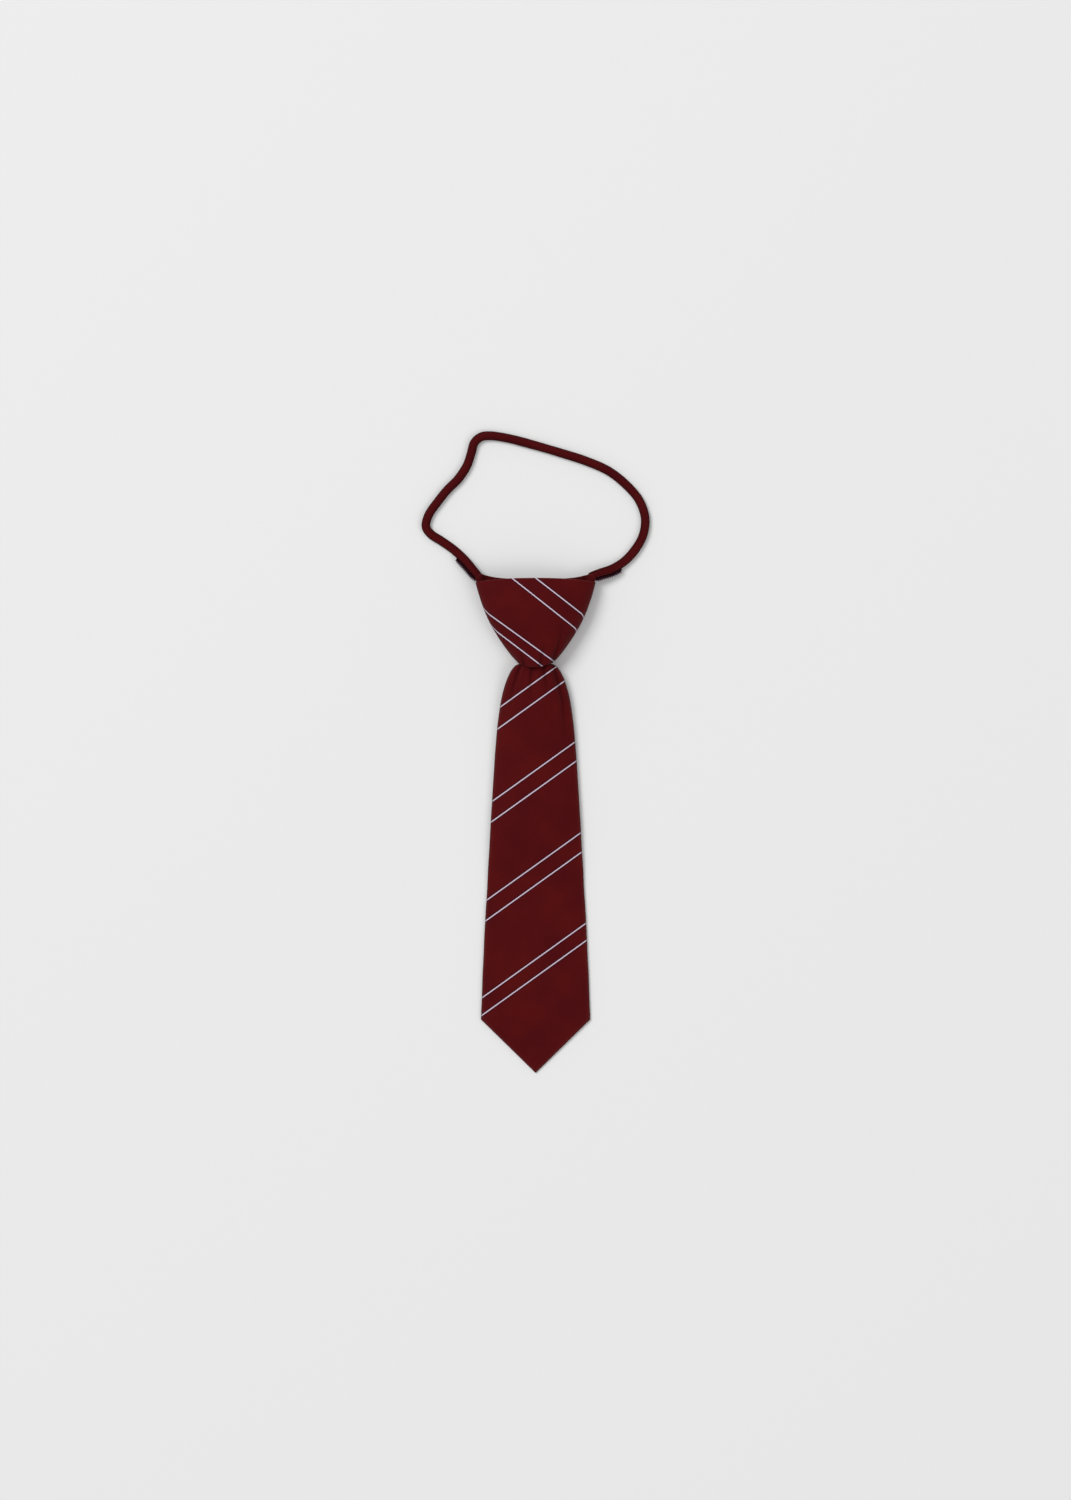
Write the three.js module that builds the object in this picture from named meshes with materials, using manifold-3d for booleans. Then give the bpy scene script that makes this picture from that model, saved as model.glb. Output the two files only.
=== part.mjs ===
// A child's zipper tie: a ready-tied tie that lies on its back on a table, seen from above.
// Millimetres. +X is to the right, +Y runs from the tip of the blade to the neck loop, and +Z is up
// from the table, out of the tie's front. The origin is under the middle of the whole tie.
//
// The blade is an interlined cloth envelope. Its gathered neck goes up into the knot, a cloth sleeve round
// folded cloth. The neck strap comes out of the two ears of that cloth, with a few centimetres of open zip
// along its outer edge. The closed part of the zip lies behind the blade, under the slider.

import * as THREE from 'three';
import { mergeVertices } from 'three/addons/utils/BufferGeometryUtils.js';
import Module from 'manifold-3d';

// Driving dimensions

const gap = 0.3;              // between two pieces that touch
const wallThickness = 1.8;    // the cloth of the knot's wrap, with its interlining

const tipY = -205.5;          // the point of the blade
const cornerY = -171.1;       // the two corners where the point begins
const bladeHalfWidth = 35;    // at those corners, the widest place
const tipHalfWidth = 0.7;
const neckTopY = 66.5;        // the gathered upper end, inside the knot
const bladeEdgePower = 5;     // how square the blade's section is

const knotFrontPower = 2.3;   // how square the knot's section is in front
const knotBackPower = 3.2;    // and behind, where it lies flat on the table
const knotBackPress = 0.5;    // how far the table presses the knot's back flat

const strapHalfWidth = 2.85;
const strapHalfHeight = 1.85;
const strapRest = 1.7;        // height of the strap's middle where it lies on the table
const earHeight = 5.6;        // height of the strap's middle where it comes out of the knot
const strapSeat = 3.2;        // how far the strap's ends go into the ears

const zipLength = 18.6;       // of open zip outside the knot, on each side
const coilHalfWidth = 1;
const coilHalfHeight = 0.8;
const tapeHalfHeight = 0.3;

// The blade from its corners upwards. under is the height of its underside in the middle, a little below the
// table where the table presses it flat, and drop is how much lower its edges hang. The knot holds its upper
// end off the table, and the closed zip lies below it.
const bladeRows = [
  { y: cornerY, halfWidth: bladeHalfWidth, thickness: 3.3, under: -0.15, drop: 0 },
  { y: -130, halfWidth: 32.8, thickness: 3.5, under: -0.15, drop: 0 },
  { y: -100, halfWidth: 31.2, thickness: 3.6, under: -0.15, drop: 0 },
  { y: -84, halfWidth: 30.3, thickness: 3.6, under: 0.6, drop: 0.4 },
  { y: -62, halfWidth: 29.1, thickness: 3.7, under: 3, drop: 2 },
  { y: -46, halfWidth: 28.2, thickness: 3.8, under: 4, drop: 2.7 },
  { y: -30, halfWidth: 27.4, thickness: 3.9, under: 4.3, drop: 3.1 },
  { y: 5, halfWidth: 25.4, thickness: 4.4, under: 4.7, drop: 3.6 },
  { y: 20, halfWidth: 24.2, thickness: 4.9, under: 5.1, drop: 3.8 },
  { y: 30, halfWidth: 22.8, thickness: 5.3, under: 5.5, drop: 3.8 },
  { y: 40, halfWidth: 20.6, thickness: 5.6, under: 6, drop: 3.6 },
  { y: 48, halfWidth: 17.9, thickness: 5.5, under: 6.4, drop: 2.8 },
  { y: 52.4, halfWidth: 15.6, thickness: 4.9, under: 6.6, drop: 1.8 },
  { y: 54.6, halfWidth: 13, thickness: 4.4, under: 6.7, drop: 1.1 },
  { y: 55.8, halfWidth: 9.2, thickness: 4.3, under: 6.7, drop: 0.5 },
  { y: 57.2, halfWidth: 7.9, thickness: 4.4, under: 6.7, drop: 0.3 },
  { y: neckTopY, halfWidth: 7.7, thickness: 4.5, under: 6.8, drop: 0.3 },
];

// The knot from its lower mouth upwards. front is the height of its face, and middle that of its side folds.
const knotRows = [
  { y: 53, halfWidth: 8.6, front: 15.1, middle: 6.6 },
  { y: 57.2, halfWidth: 10.9, front: 15.6, middle: 6.6 },
  { y: 60.9, halfWidth: 14.3, front: 16.2, middle: 6.6 },
  { y: 66.8, halfWidth: 18.9, front: 17, middle: 6.6 },
  { y: 74.5, halfWidth: 24.1, front: 17.9, middle: 6.6 },
  { y: 82.2, halfWidth: 28.6, front: 18.5, middle: 6.7 },
  { y: 89.9, halfWidth: 32.1, front: 18.9, middle: 6.8 },
  { y: 98.9, halfWidth: 35.3, front: 18.7, middle: 6.8 },
  { y: 106.6, halfWidth: 37.5, front: 17.9, middle: 6.7 },
  { y: 114, halfWidth: 39, front: 16.4, middle: 6.6 },
];

// Where the wrap's two ends lie at its side folds, and how far they bow in the middle of the face and back.
const wrapTop = { side: 108.4, face: 2.2, back: -3.2 };
const wrapBottom = { side: 58, face: -2.9, back: 0.8 };

// The folds that the pinch of the knot leaves in the cloth, each as a groove across a share of the half
// width, from its upper end to its lower one.
const bladeFolds = [
  { upperY: 54, upperShare: 0.62, lowerY: 6, lowerShare: 0.81, depth: 1.1, halfWidth: 2.4 },
  { upperY: 54, upperShare: -0.56, lowerY: 26, lowerShare: -0.74, depth: 0.9, halfWidth: 2.2 },
];
const knotFolds = [
  { upperY: 80, upperShare: 0.62, lowerY: 58, lowerShare: 0.84, depth: 0.8, halfWidth: 1.9 },
  { upperY: 66, upperShare: -0.52, lowerY: 57, lowerShare: -0.72, depth: 0.5, halfWidth: 1.6 },
];

// The strap's route on the table, from the left ear round the neck opening to the right ear.
const strapRoute = [
  [-36, 112], [-40, 116.8], [-45.9, 123.5], [-53, 130.2], [-60.8, 135.4], [-67.8, 139.8],
  [-70.7, 144.7], [-68.6, 152.2], [-63.2, 160.7], [-57.2, 168.3], [-50.1, 175.8], [-44.4, 184.2],
  [-41.9, 191.8], [-39.6, 198.9], [-34.8, 202.4], [-28.9, 202.8], [-17.9, 201.2], [-2.9, 196.8],
  [15, 191.6], [32, 186.6], [46.8, 180.4], [58.2, 172.4], [66.3, 162.1], [69.9, 151.6],
  [70.2, 144], [67.9, 136.5], [62.6, 128], [56.7, 122.4], [48.7, 118], [40.9, 115.2], [36.2, 112.2],
];
const leftEar = { mouth: [-36, 112], out: [-0.66, 0.75] };
const rightEar = { mouth: [36.2, 112.2], out: [0.8, 0.6] };

// Tables and curves

function columnOf(rows, name) {
  const places = rows.map((row) => row.y);
  const values = rows.map((row) => row[name]);
  const curve = new THREE.CubicInterpolant(places, values, 1);
  return (y) => curve.evaluate(y)[0];
}

function signedPower(value, power) {
  return Math.sign(value) * Math.abs(value) ** power;
}

// How deep the folds are at a place given as a height y and a share of the half width. A fold starts within
// an eighth of its length and fades out towards its lower end.
const foldStart = 1 / 8;

function foldDepth(folds, y, share, halfWidth) {
  let depth = 0;
  for (const fold of folds) {
    const along = (fold.upperY - y) / (fold.upperY - fold.lowerY);
    if (along < 0 || along > 1) continue;
    const line = THREE.MathUtils.lerp(fold.upperShare, fold.lowerShare, along);
    const away = ((share - line) * halfWidth) / fold.halfWidth;
    const strength = Math.sqrt(Math.min(1, along / foldStart)) * (1 - along);
    depth += fold.depth * strength * Math.exp(-away * away);
  }
  return depth;
}

// A ring of points at equal turns, from a function of the turn.
function ringOf(count, pointAt) {
  return Array.from({ length: count }, (_, step) => pointAt((2 * Math.PI * step) / count));
}

// A closed skin over rings of points that each close on themselves. The row of rings closes on itself too,
// as round a sleeve's wall, or ends in a fan at each end.
function skin(rings, { sleeve = false } = {}) {
  const around = rings[0].length;
  const points = rings.flat();
  const index = [];
  for (let row = 0; row < rings.length - (sleeve ? 0 : 1); row++) {
    const next = (row + 1) % rings.length;
    for (let step = 0; step < around; step++) {
      const after = (step + 1) % around;
      const [a, b] = [row * around + step, row * around + after];
      const [c, d] = [next * around + after, next * around + step];
      index.push(a, b, c, a, c, d);
    }
  }
  if (!sleeve) {
    for (const [row, turn] of [[0, -1], [rings.length - 1, 1]]) {
      const centre = new THREE.Vector3();
      rings[row].forEach((point) => centre.addScaledVector(point, 1 / around));
      const hub = points.push(centre) - 1;
      for (let step = 0; step < around; step++) {
        const [a, b] = [row * around + step, row * around + ((step + 1) % around)];
        index.push(hub, ...(turn > 0 ? [a, b] : [b, a]));
      }
    }
  }
  const geometry = new THREE.BufferGeometry().setFromPoints(points);
  geometry.setIndex(enclosedVolume(points, index) < 0 ? index.reverse() : index);
  geometry.computeVertexNormals();
  return geometry;
}

function enclosedVolume(points, index) {
  let volume = 0;
  for (let i = 0; i < index.length; i += 3) {
    const [a, b, c] = [points[index[i]], points[index[i + 1]], points[index[i + 2]]];
    volume += a.dot(new THREE.Vector3().crossVectors(b, c)) / 6;
  }
  return volume;
}

// Joining and cutting

const solids = await Module();
solids.setup();

function solidOf(geometry) {
  const bare = geometry.clone();
  bare.deleteAttribute('normal');
  const merged = mergeVertices(bare, 1e-4);
  return new solids.Manifold(new solids.Mesh({
    numProp: 3,
    vertProperties: merged.attributes.position.array,
    triVerts: new Uint32Array(merged.index.array),
  }));
}

function geometryOf(solid) {
  const mesh = solid.getMesh();
  const geometry = new THREE.BufferGeometry();
  geometry.setAttribute('position', new THREE.Float32BufferAttribute(mesh.vertProperties, 3));
  geometry.setIndex(Array.from(mesh.triVerts));
  geometry.computeVertexNormals();
  return geometry;
}

// The blade

const bladeAcross = 14;       // spaces across the blade, on each face
const flareY = -104;          // above this the blade leaves the table and narrows
const bladeStep = 4;          // between two rings there
const bladeLowStep = 14;      // and below
const pinchPlaces = [54, 54.8, 55.4, 56, 56.6, 57.2, 61, neckTopY];
const tipThinning = 0.3;      // the share of its thickness that the blade loses at its tip

const bladeColumn = {
  halfWidth: columnOf(bladeRows, 'halfWidth'),
  thickness: columnOf(bladeRows, 'thickness'),
  under: columnOf(bladeRows, 'under'),
  drop: columnOf(bladeRows, 'drop'),
};

function bladeRing(y) {
  const inPoint = y < cornerY;
  const down = (cornerY - y) / (cornerY - tipY);
  const row = Math.max(y, cornerY);
  const halfWidth = inPoint
    ? THREE.MathUtils.lerp(bladeHalfWidth, tipHalfWidth, down)
    : bladeColumn.halfWidth(row);
  const thickness = bladeColumn.thickness(row) * (inPoint ? 1 - tipThinning * down * down : 1);
  const ring = [];
  for (let step = 0; step < 2 * bladeAcross; step++) {
    const onFace = step <= bladeAcross;
    const turn = onFace ? step / bladeAcross : 2 - step / bladeAcross;
    const share = -Math.cos(Math.PI * turn);
    const bulge = Math.max(0, 1 - Math.abs(share) ** bladeEdgePower) ** (1 / bladeEdgePower);
    const middle = bladeColumn.under(row) - bladeColumn.drop(row) * share * share + thickness / 2;
    const z = middle + (onFace ? 1 : -1) * (bulge * thickness) / 2;
    const fold = onFace ? foldDepth(bladeFolds, y, share, halfWidth) * bulge : 0;
    ring.push(new THREE.Vector3(halfWidth * share, y, Math.max(0, z - fold)));
  }
  return ring;
}

function bladeGeometry() {
  const places = [tipY, (tipY + cornerY) / 2, cornerY];
  for (let y = cornerY + bladeLowStep; y < flareY; y += bladeLowStep) places.push(y);
  for (let y = flareY; y < pinchPlaces[0]; y += bladeStep) places.push(y);
  places.push(...pinchPlaces);
  return skin(places.map(bladeRing));
}

// The knot: a sleeve of cloth round folded cloth

const knotAround = 36;        // points round the knot
const wrapSteps = 8;          // spaces down the wrap
const knotColumn = {
  halfWidth: columnOf(knotRows, 'halfWidth'),
  front: columnOf(knotRows, 'front'),
  middle: columnOf(knotRows, 'middle'),
};

// A point of the knot's body at a turn round it and a height y, inset from its outer surface.
function knotPoint(turn, y, inset) {
  const [across, out] = [Math.cos(turn), Math.sin(turn)];
  const power = 2 / (out >= 0 ? knotFrontPower : knotBackPower);
  const halfWidth = knotColumn.halfWidth(y);
  const middle = knotColumn.middle(y);
  const share = signedPower(across, power);
  const rise = Math.abs(out) ** power;
  const fold = foldDepth(knotFolds, y, share, halfWidth) * rise;
  const z = out >= 0
    ? middle + (knotColumn.front(y) - inset - fold - middle) * rise
    : Math.max(inset, middle - (middle + knotBackPress - inset) * rise);
  return new THREE.Vector3((halfWidth - inset) * share, y, z);
}

function edgeY(edge, turn) {
  const out = Math.sin(turn);
  return edge.side + (out >= 0 ? edge.face : edge.back) * out * out;
}

const rimRoundShare = 0.45;   // how far its folded rims stand out, as a share of the wall

// The wrap's wall, or with grow the space that it needs with a gap all round.
function wrapGeometry(grow = 0) {
  const rimRound = wallThickness * rimRoundShare + grow;
  const downs = Array.from({ length: wrapSteps + 1 }, (_, i) => i / wrapSteps);
  const middle = wallThickness / 2;
  const stations = [
    ...downs.map((down) => ({ down, inset: -grow, past: 0 })),
    { down: 1, inset: middle, past: -rimRound },
    ...downs.reverse().map((down) => ({ down, inset: wallThickness + grow, past: 0 })),
    { down: 0, inset: middle, past: rimRound },
  ];
  const rings = stations.map(({ down, inset, past }) => ringOf(knotAround, (turn) => {
    const y = THREE.MathUtils.lerp(edgeY(wrapTop, turn), edgeY(wrapBottom, turn), down) + past;
    return knotPoint(turn, y, inset);
  }));
  return skin(rings, { sleeve: true });
}

const fillBottomY = 67;
const fillPlaces = [0, 0.25, 0.5, 0.75, 0.9, 1];
const neckline = { middle: 107, rise: 6, power: 2.4 };

// The cloth that fills the wrap, up to the curved neckline between the two ears.
function fillGeometry() {
  const rings = fillPlaces.map((up) => ringOf(knotAround, (turn) => {
    const topY = neckline.middle + neckline.rise * Math.abs(Math.cos(turn)) ** neckline.power;
    return knotPoint(turn, THREE.MathUtils.lerp(fillBottomY, topY, up), wallThickness + gap);
  }));
  return skin(rings);
}

const earSection = { halfWidth: 3.2, halfHeight: 3.5, power: 0.8, corners: 20 };
const earDepth = 9;
const earSpare = 1;           // of its length, cut off again at the mouth

// A flattened tube of cloth round the strap's end, from inside the knot to past the ear's mouth.
function earGeometry(mouth, out) {
  const side = new THREE.Vector3(-out.y, out.x, 0);
  const rings = [-earDepth, -earDepth / 2, earSpare].map((along) => ringOf(earSection.corners, (turn) => {
    const point = mouth.clone().addScaledVector(out, along);
    point.addScaledVector(side, earSection.halfWidth * signedPower(Math.cos(turn), earSection.power));
    point.z += earSection.halfHeight * signedPower(Math.sin(turn), earSection.power);
    return point;
  }));
  return skin(rings);
}

function knotInnerGeometry() {
  let body = solidOf(fillGeometry());
  for (const ear of [leftEar, rightEar]) {
    const out = new THREE.Vector3(...ear.out, 0).normalize();
    const mouth = new THREE.Vector3(...ear.mouth, earHeight);
    const mouthPlane = out.dot(mouth);
    body = body.add(solidOf(earGeometry(mouth, out)));
    body = body.trimByPlane([-out.x, -out.y, 0], -mouthPlane);
  }
  body = body.subtract(solidOf(wrapGeometry(gap)));
  body = body.subtract(solidOf(strapGeometry(gap)));
  return geometryOf(body);
}

// The neck strap and the open zip along its outer edge

const strapSteps = 100;
const arcDivisions = 2000;    // for even steps along its curve
const landing = 26;           // the length over which the strap comes down to the table
const strapPinch = 0.7;       // the share of its size that the ears press it to
const pinchLength = 15;       // the length over which it widens again
const softSection = 0.75;     // the power of a soft oval, where 1 is an ellipse and less is squarer
const flatSection = 0.4;      // and of a flat tape

function strapCurve(seatDepth = strapSeat) {
  const seat = (ear) => ear.mouth.map((value, axis) => value - seatDepth * ear.out[axis]);
  const route = [seat(leftEar), ...strapRoute, seat(rightEar)];
  return new THREE.CatmullRomCurve3(route.map(([x, y]) => new THREE.Vector3(x, y, 0)), false, 'centripetal');
}

// Places along the strap, each with its distance from both ends and its direction to the left.
function strapStations(steps, { seatDepth = strapSeat, from = 0, to = Infinity } = {}) {
  const curve = strapCurve(seatDepth);
  curve.arcLengthDivisions = arcDivisions;
  const length = curve.getLength();
  const end = Math.min(to, length);
  const stations = [];
  for (let i = 0; i <= steps; i++) {
    const along = THREE.MathUtils.lerp(from, end, i / steps);
    const point = curve.getPointAt(along / length);
    const way = curve.getTangentAt(along / length);
    const fromEar = Math.min(along, length - along) - seatDepth;
    const down = THREE.MathUtils.smoothstep(fromEar, 0, landing);
    point.z = THREE.MathUtils.lerp(earHeight, strapRest, down);
    stations.push({ point, left: new THREE.Vector3(-way.y, way.x, 0).normalize(), fromEar });
  }
  return stations;
}

// A band of cloth, tape or coil that runs through a row of stations, beside and above them.
function runGeometry(stations, section) {
  const { beside = () => 0, above = 0, halfWidth, halfHeight, corners = 10, power = softSection } = section;
  const rings = stations.map((station) => ringOf(corners, (turn) => {
    const halfway = turn + Math.PI / corners;
    const across = beside(station) + halfWidth(station) * signedPower(Math.cos(halfway), power);
    const point = station.point.clone().addScaledVector(station.left, across);
    const rise = above + halfHeight(station) * signedPower(Math.sin(halfway), power);
    point.z = Math.max(0, point.z + rise);
    return point;
  }));
  return skin(rings);
}

function strapShare({ fromEar }) {
  return THREE.MathUtils.lerp(strapPinch, 1, THREE.MathUtils.smoothstep(fromEar, -1, pinchLength));
}

function strapGeometry(grow = 0) {
  return runGeometry(strapStations(strapSteps, { seatDepth: strapSeat + grow }), {
    halfWidth: (station) => strapHalfWidth * strapShare(station) + grow,
    halfHeight: (station) => strapHalfHeight * strapShare(station) + grow,
  });
}

const tapeHalfWidth = 1.25;
const coilOverTape = 1.8;     // from the strap's edge to the middle of the teeth
const tapeAbove = -0.9;
const coilAboveTape = tapeHalfHeight + gap + coilHalfHeight;
const zipMouthGap = 0.8;      // from the ear's mouth to the first tooth
const zipSteps = 8;

function openZipGeometry(ear, piece) {
  const length = strapCurve().getLength();
  const start = strapSeat + zipMouthGap;
  const [from, to] = ear === leftEar
    ? [start, start + zipLength]
    : [length - start - zipLength, length - start];
  const edge = (station) => strapHalfWidth * strapShare(station) + gap;
  const sections = {
    tape: {
      beside: (station) => edge(station) + tapeHalfWidth,
      above: tapeAbove,
      halfWidth: () => tapeHalfWidth,
      halfHeight: () => tapeHalfHeight,
      corners: 8,
      power: flatSection,
    },
    coil: {
      beside: (station) => edge(station) + coilOverTape,
      above: tapeAbove + coilAboveTape,
      halfWidth: () => coilHalfWidth,
      halfHeight: () => coilHalfHeight,
      corners: 8,
    },
  };
  return runGeometry(strapStations(zipSteps, { from, to }), sections[piece]);
}

// The closed zip behind the blade

const tailTopY = 61;          // inside the knot's lower mouth
const tailBottomY = -32;
const tailSteps = 15;
const tailMouthHeight = 4.2;  // height of its middle at the knot
const tailRest = 1.4;         // and on the table
const tailMouthY = 56;
const tailLandingY = 22;
const binding = { middle: 5.85, halfWidth: 2.35, halfHeight: 1.45 };
const tailTape = { middle: 1.75, halfWidth: 1.45, above: -0.6 };
const chainTopY = 53.5;
const chainHalfWidth = 2;

function tailStations(topY) {
  return Array.from({ length: tailSteps + 1 }, (_, step) => {
    const y = THREE.MathUtils.lerp(topY, tailBottomY, step / tailSteps);
    const up = THREE.MathUtils.smoothstep(y, tailLandingY, tailMouthY);
    const z = THREE.MathUtils.lerp(tailRest, tailMouthHeight, up);
    return { point: new THREE.Vector3(0, y, z), left: new THREE.Vector3(1, 0, 0) };
  });
}

function bindingGeometry(side) {
  return runGeometry(tailStations(tailTopY), {
    beside: () => side * binding.middle,
    halfWidth: () => binding.halfWidth,
    halfHeight: () => binding.halfHeight,
  });
}

// The tape and the chain, or with grow the space that each needs inside the slider.
function tailTapeGeometry(side, grow = 0) {
  return runGeometry(tailStations(chainTopY + grow), {
    beside: () => side * tailTape.middle,
    above: tailTape.above,
    halfWidth: () => tailTape.halfWidth + grow,
    halfHeight: () => tapeHalfHeight + grow,
    corners: 8,
    power: flatSection,
  });
}

function chainGeometry(grow = 0) {
  return runGeometry(tailStations(chainTopY + grow), {
    above: tailTape.above + coilAboveTape,
    halfWidth: () => chainHalfWidth + grow,
    halfHeight: () => coilHalfHeight + grow,
  });
}

// The slider's two plates are joined above the closed teeth, and the chain leaves through its lower half.
const slider = {
  halfWidth: 3.1, waist: 2.55, topY: 58, bottomY: 49.5, low: 2.35, high: 6.1, round: 1.1, bevel: 0.35,
};

function sliderGeometry() {
  const outline = new THREE.Shape();
  const { halfWidth, waist, topY, bottomY, low, high, round, bevel } = slider;
  outline.moveTo(-waist + round, bottomY);
  outline.lineTo(waist - round, bottomY);
  outline.quadraticCurveTo(waist, bottomY, waist, bottomY + round);
  outline.lineTo(halfWidth, topY - round);
  outline.quadraticCurveTo(halfWidth, topY, halfWidth - round, topY);
  outline.lineTo(-halfWidth + round, topY);
  outline.quadraticCurveTo(-halfWidth, topY, -halfWidth, topY - round);
  outline.lineTo(-waist, bottomY + round);
  outline.quadraticCurveTo(-waist, bottomY, -waist + round, bottomY);
  const block = new THREE.ExtrudeGeometry(outline, {
    depth: high - low - 2 * bevel,
    bevelThickness: bevel,
    bevelSize: bevel,
    bevelOffset: -bevel,
    bevelSegments: 2,
    curveSegments: 4,
  });
  block.translate(0, 0, low + bevel);
  block.deleteAttribute('uv');
  let body = solidOf(block);
  body = body.subtract(solidOf(chainGeometry(gap)));
  for (const side of [-1, 1]) body = body.subtract(solidOf(tailTapeGeometry(side, gap)));
  return geometryOf(body);
}

// The folded tab that is sewn over the lower end of the zip.
const tab = { halfWidth: 8.5, length: 12, thickness: 3.1, round: 1.6, bevel: 0.8 };

function tabGeometry() {
  const outline = new THREE.Shape();
  const { halfWidth, length, thickness, round, bevel } = tab;
  const topY = tailBottomY - gap;
  const bottomY = topY - length;
  outline.moveTo(-halfWidth, topY);
  outline.lineTo(-halfWidth, bottomY + round);
  outline.quadraticCurveTo(-halfWidth, bottomY, -halfWidth + round, bottomY);
  outline.lineTo(halfWidth - round, bottomY);
  outline.quadraticCurveTo(halfWidth, bottomY, halfWidth, bottomY + round);
  outline.lineTo(halfWidth, topY);
  const geometry = new THREE.ExtrudeGeometry(outline, {
    depth: thickness - 2 * bevel,
    bevelThickness: bevel,
    bevelSize: bevel,
    bevelOffset: -bevel,
    bevelSegments: 3,
    curveSegments: 5,
  });
  return geometry.translate(0, 0, bevel);
}

// Finishes

const cloth = new THREE.MeshStandardMaterial({ color: 0x511112, roughness: 0.75, metalness: 0 });
const strapCloth = new THREE.MeshStandardMaterial({ color: 0x4d1012, roughness: 0.8, metalness: 0 });
const tapeWeave = new THREE.MeshStandardMaterial({ color: 0x2c0d16, roughness: 0.85, metalness: 0 });
const nylonTeeth = new THREE.MeshStandardMaterial({ color: 0x24101c, roughness: 0.4, metalness: 0 });
const sliderMetal = new THREE.MeshStandardMaterial({ color: 0x2e1418, roughness: 0.35, metalness: 0.8 });

// The assembly

const tie = new THREE.Group();

function piece(name, geometry, material, parent) {
  const mesh = new THREE.Mesh(geometry, material);
  mesh.name = name;
  parent.add(mesh);
}

piece('blade', bladeGeometry(), cloth, tie);

const knot = new THREE.Group();
tie.add(knot);
piece('knot_wrap', wrapGeometry(), cloth, knot);
piece('knot_inner', knotInnerGeometry(), cloth, knot);

const neckLoop = new THREE.Group();
tie.add(neckLoop);
piece('neck_band', strapGeometry(), strapCloth, neckLoop);
for (const [name, ear] of [['left', leftEar], ['right', rightEar]]) {
  piece(`zip_tape_${name}`, openZipGeometry(ear, 'tape'), tapeWeave, neckLoop);
  piece(`zip_coil_${name}`, openZipGeometry(ear, 'coil'), nylonTeeth, neckLoop);
}

const zipTail = new THREE.Group();
tie.add(zipTail);
piece('zip_slider', sliderGeometry(), sliderMetal, zipTail);
piece('tail_coil', chainGeometry(), nylonTeeth, zipTail);
for (const [name, side] of [['left', -1], ['right', 1]]) {
  piece(`tail_band_${name}`, bindingGeometry(side), strapCloth, zipTail);
  piece(`tail_tape_${name}`, tailTapeGeometry(side), tapeWeave, zipTail);
}
piece('tail_end', tabGeometry(), strapCloth, zipTail);

export default tie;
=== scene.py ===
# A child's zipper tie of burgundy cloth with pale pinstripes, lying on a pale table, front up.
# Lengths are in millimetres where the cloth is shaped, and turn into metres as each mesh is made.

import math
import bmesh
import bpy
import numpy as np
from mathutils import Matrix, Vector, noise


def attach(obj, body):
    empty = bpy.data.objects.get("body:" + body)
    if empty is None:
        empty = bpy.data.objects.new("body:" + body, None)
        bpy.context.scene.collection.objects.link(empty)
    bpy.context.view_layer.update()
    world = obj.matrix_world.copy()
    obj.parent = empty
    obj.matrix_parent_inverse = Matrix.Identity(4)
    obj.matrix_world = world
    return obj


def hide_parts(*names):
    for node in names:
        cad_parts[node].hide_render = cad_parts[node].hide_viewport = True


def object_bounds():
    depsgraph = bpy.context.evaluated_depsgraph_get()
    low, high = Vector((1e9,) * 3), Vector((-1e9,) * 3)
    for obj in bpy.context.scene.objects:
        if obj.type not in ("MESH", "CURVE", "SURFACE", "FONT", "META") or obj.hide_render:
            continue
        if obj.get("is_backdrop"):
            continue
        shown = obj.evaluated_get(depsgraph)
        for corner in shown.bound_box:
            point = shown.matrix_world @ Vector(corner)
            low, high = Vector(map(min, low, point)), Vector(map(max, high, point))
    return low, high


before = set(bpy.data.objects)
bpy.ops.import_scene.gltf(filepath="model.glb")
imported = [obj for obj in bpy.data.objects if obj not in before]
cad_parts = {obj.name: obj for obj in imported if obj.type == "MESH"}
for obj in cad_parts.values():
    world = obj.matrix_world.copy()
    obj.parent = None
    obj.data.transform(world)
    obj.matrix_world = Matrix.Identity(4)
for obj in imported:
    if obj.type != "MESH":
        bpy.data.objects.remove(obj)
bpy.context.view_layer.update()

# Camera
# The picture looks straight down on the tie. One of its pixels is 0.6422 mm on the table, and its
# middle is a little to the left of and above the middle of the tie.
photo_width, photo_height = 1071, 1500
metres_per_pixel = 0.0006422
tie_middle_pixel = (535.6, 752)

camera_data = bpy.data.cameras.new("camera")
camera_data.lens = 150
camera_data.clip_end = 20
camera = bpy.data.objects.new("camera", camera_data)
camera.location = (
    (photo_width / 2 - tie_middle_pixel[0]) * metres_per_pixel,
    (tie_middle_pixel[1] - photo_height / 2) * metres_per_pixel,
    photo_height * metres_per_pixel * camera_data.lens / camera_data.sensor_width,
)
bpy.context.scene.collection.objects.link(camera)
bpy.context.scene.camera = camera
bpy.context.scene.view_settings.view_transform = "Standard"


# Table and light
# The table is a plain pale board. A large softbox hangs up to the left, a weaker one to the right, and the
# room's own pale light fills the shadows, so that the cloth's colour reads almost evenly.
def linear(hex_colour):
    """Scene-linear RGBA of an sRGB hex colour."""
    parts = [int(hex_colour[i : i + 2], 16) / 255 for i in (1, 3, 5)]
    return [c / 12.92 if c <= 0.04045 else ((c + 0.055) / 1.055) ** 2.4 for c in parts] + [1]


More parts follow.
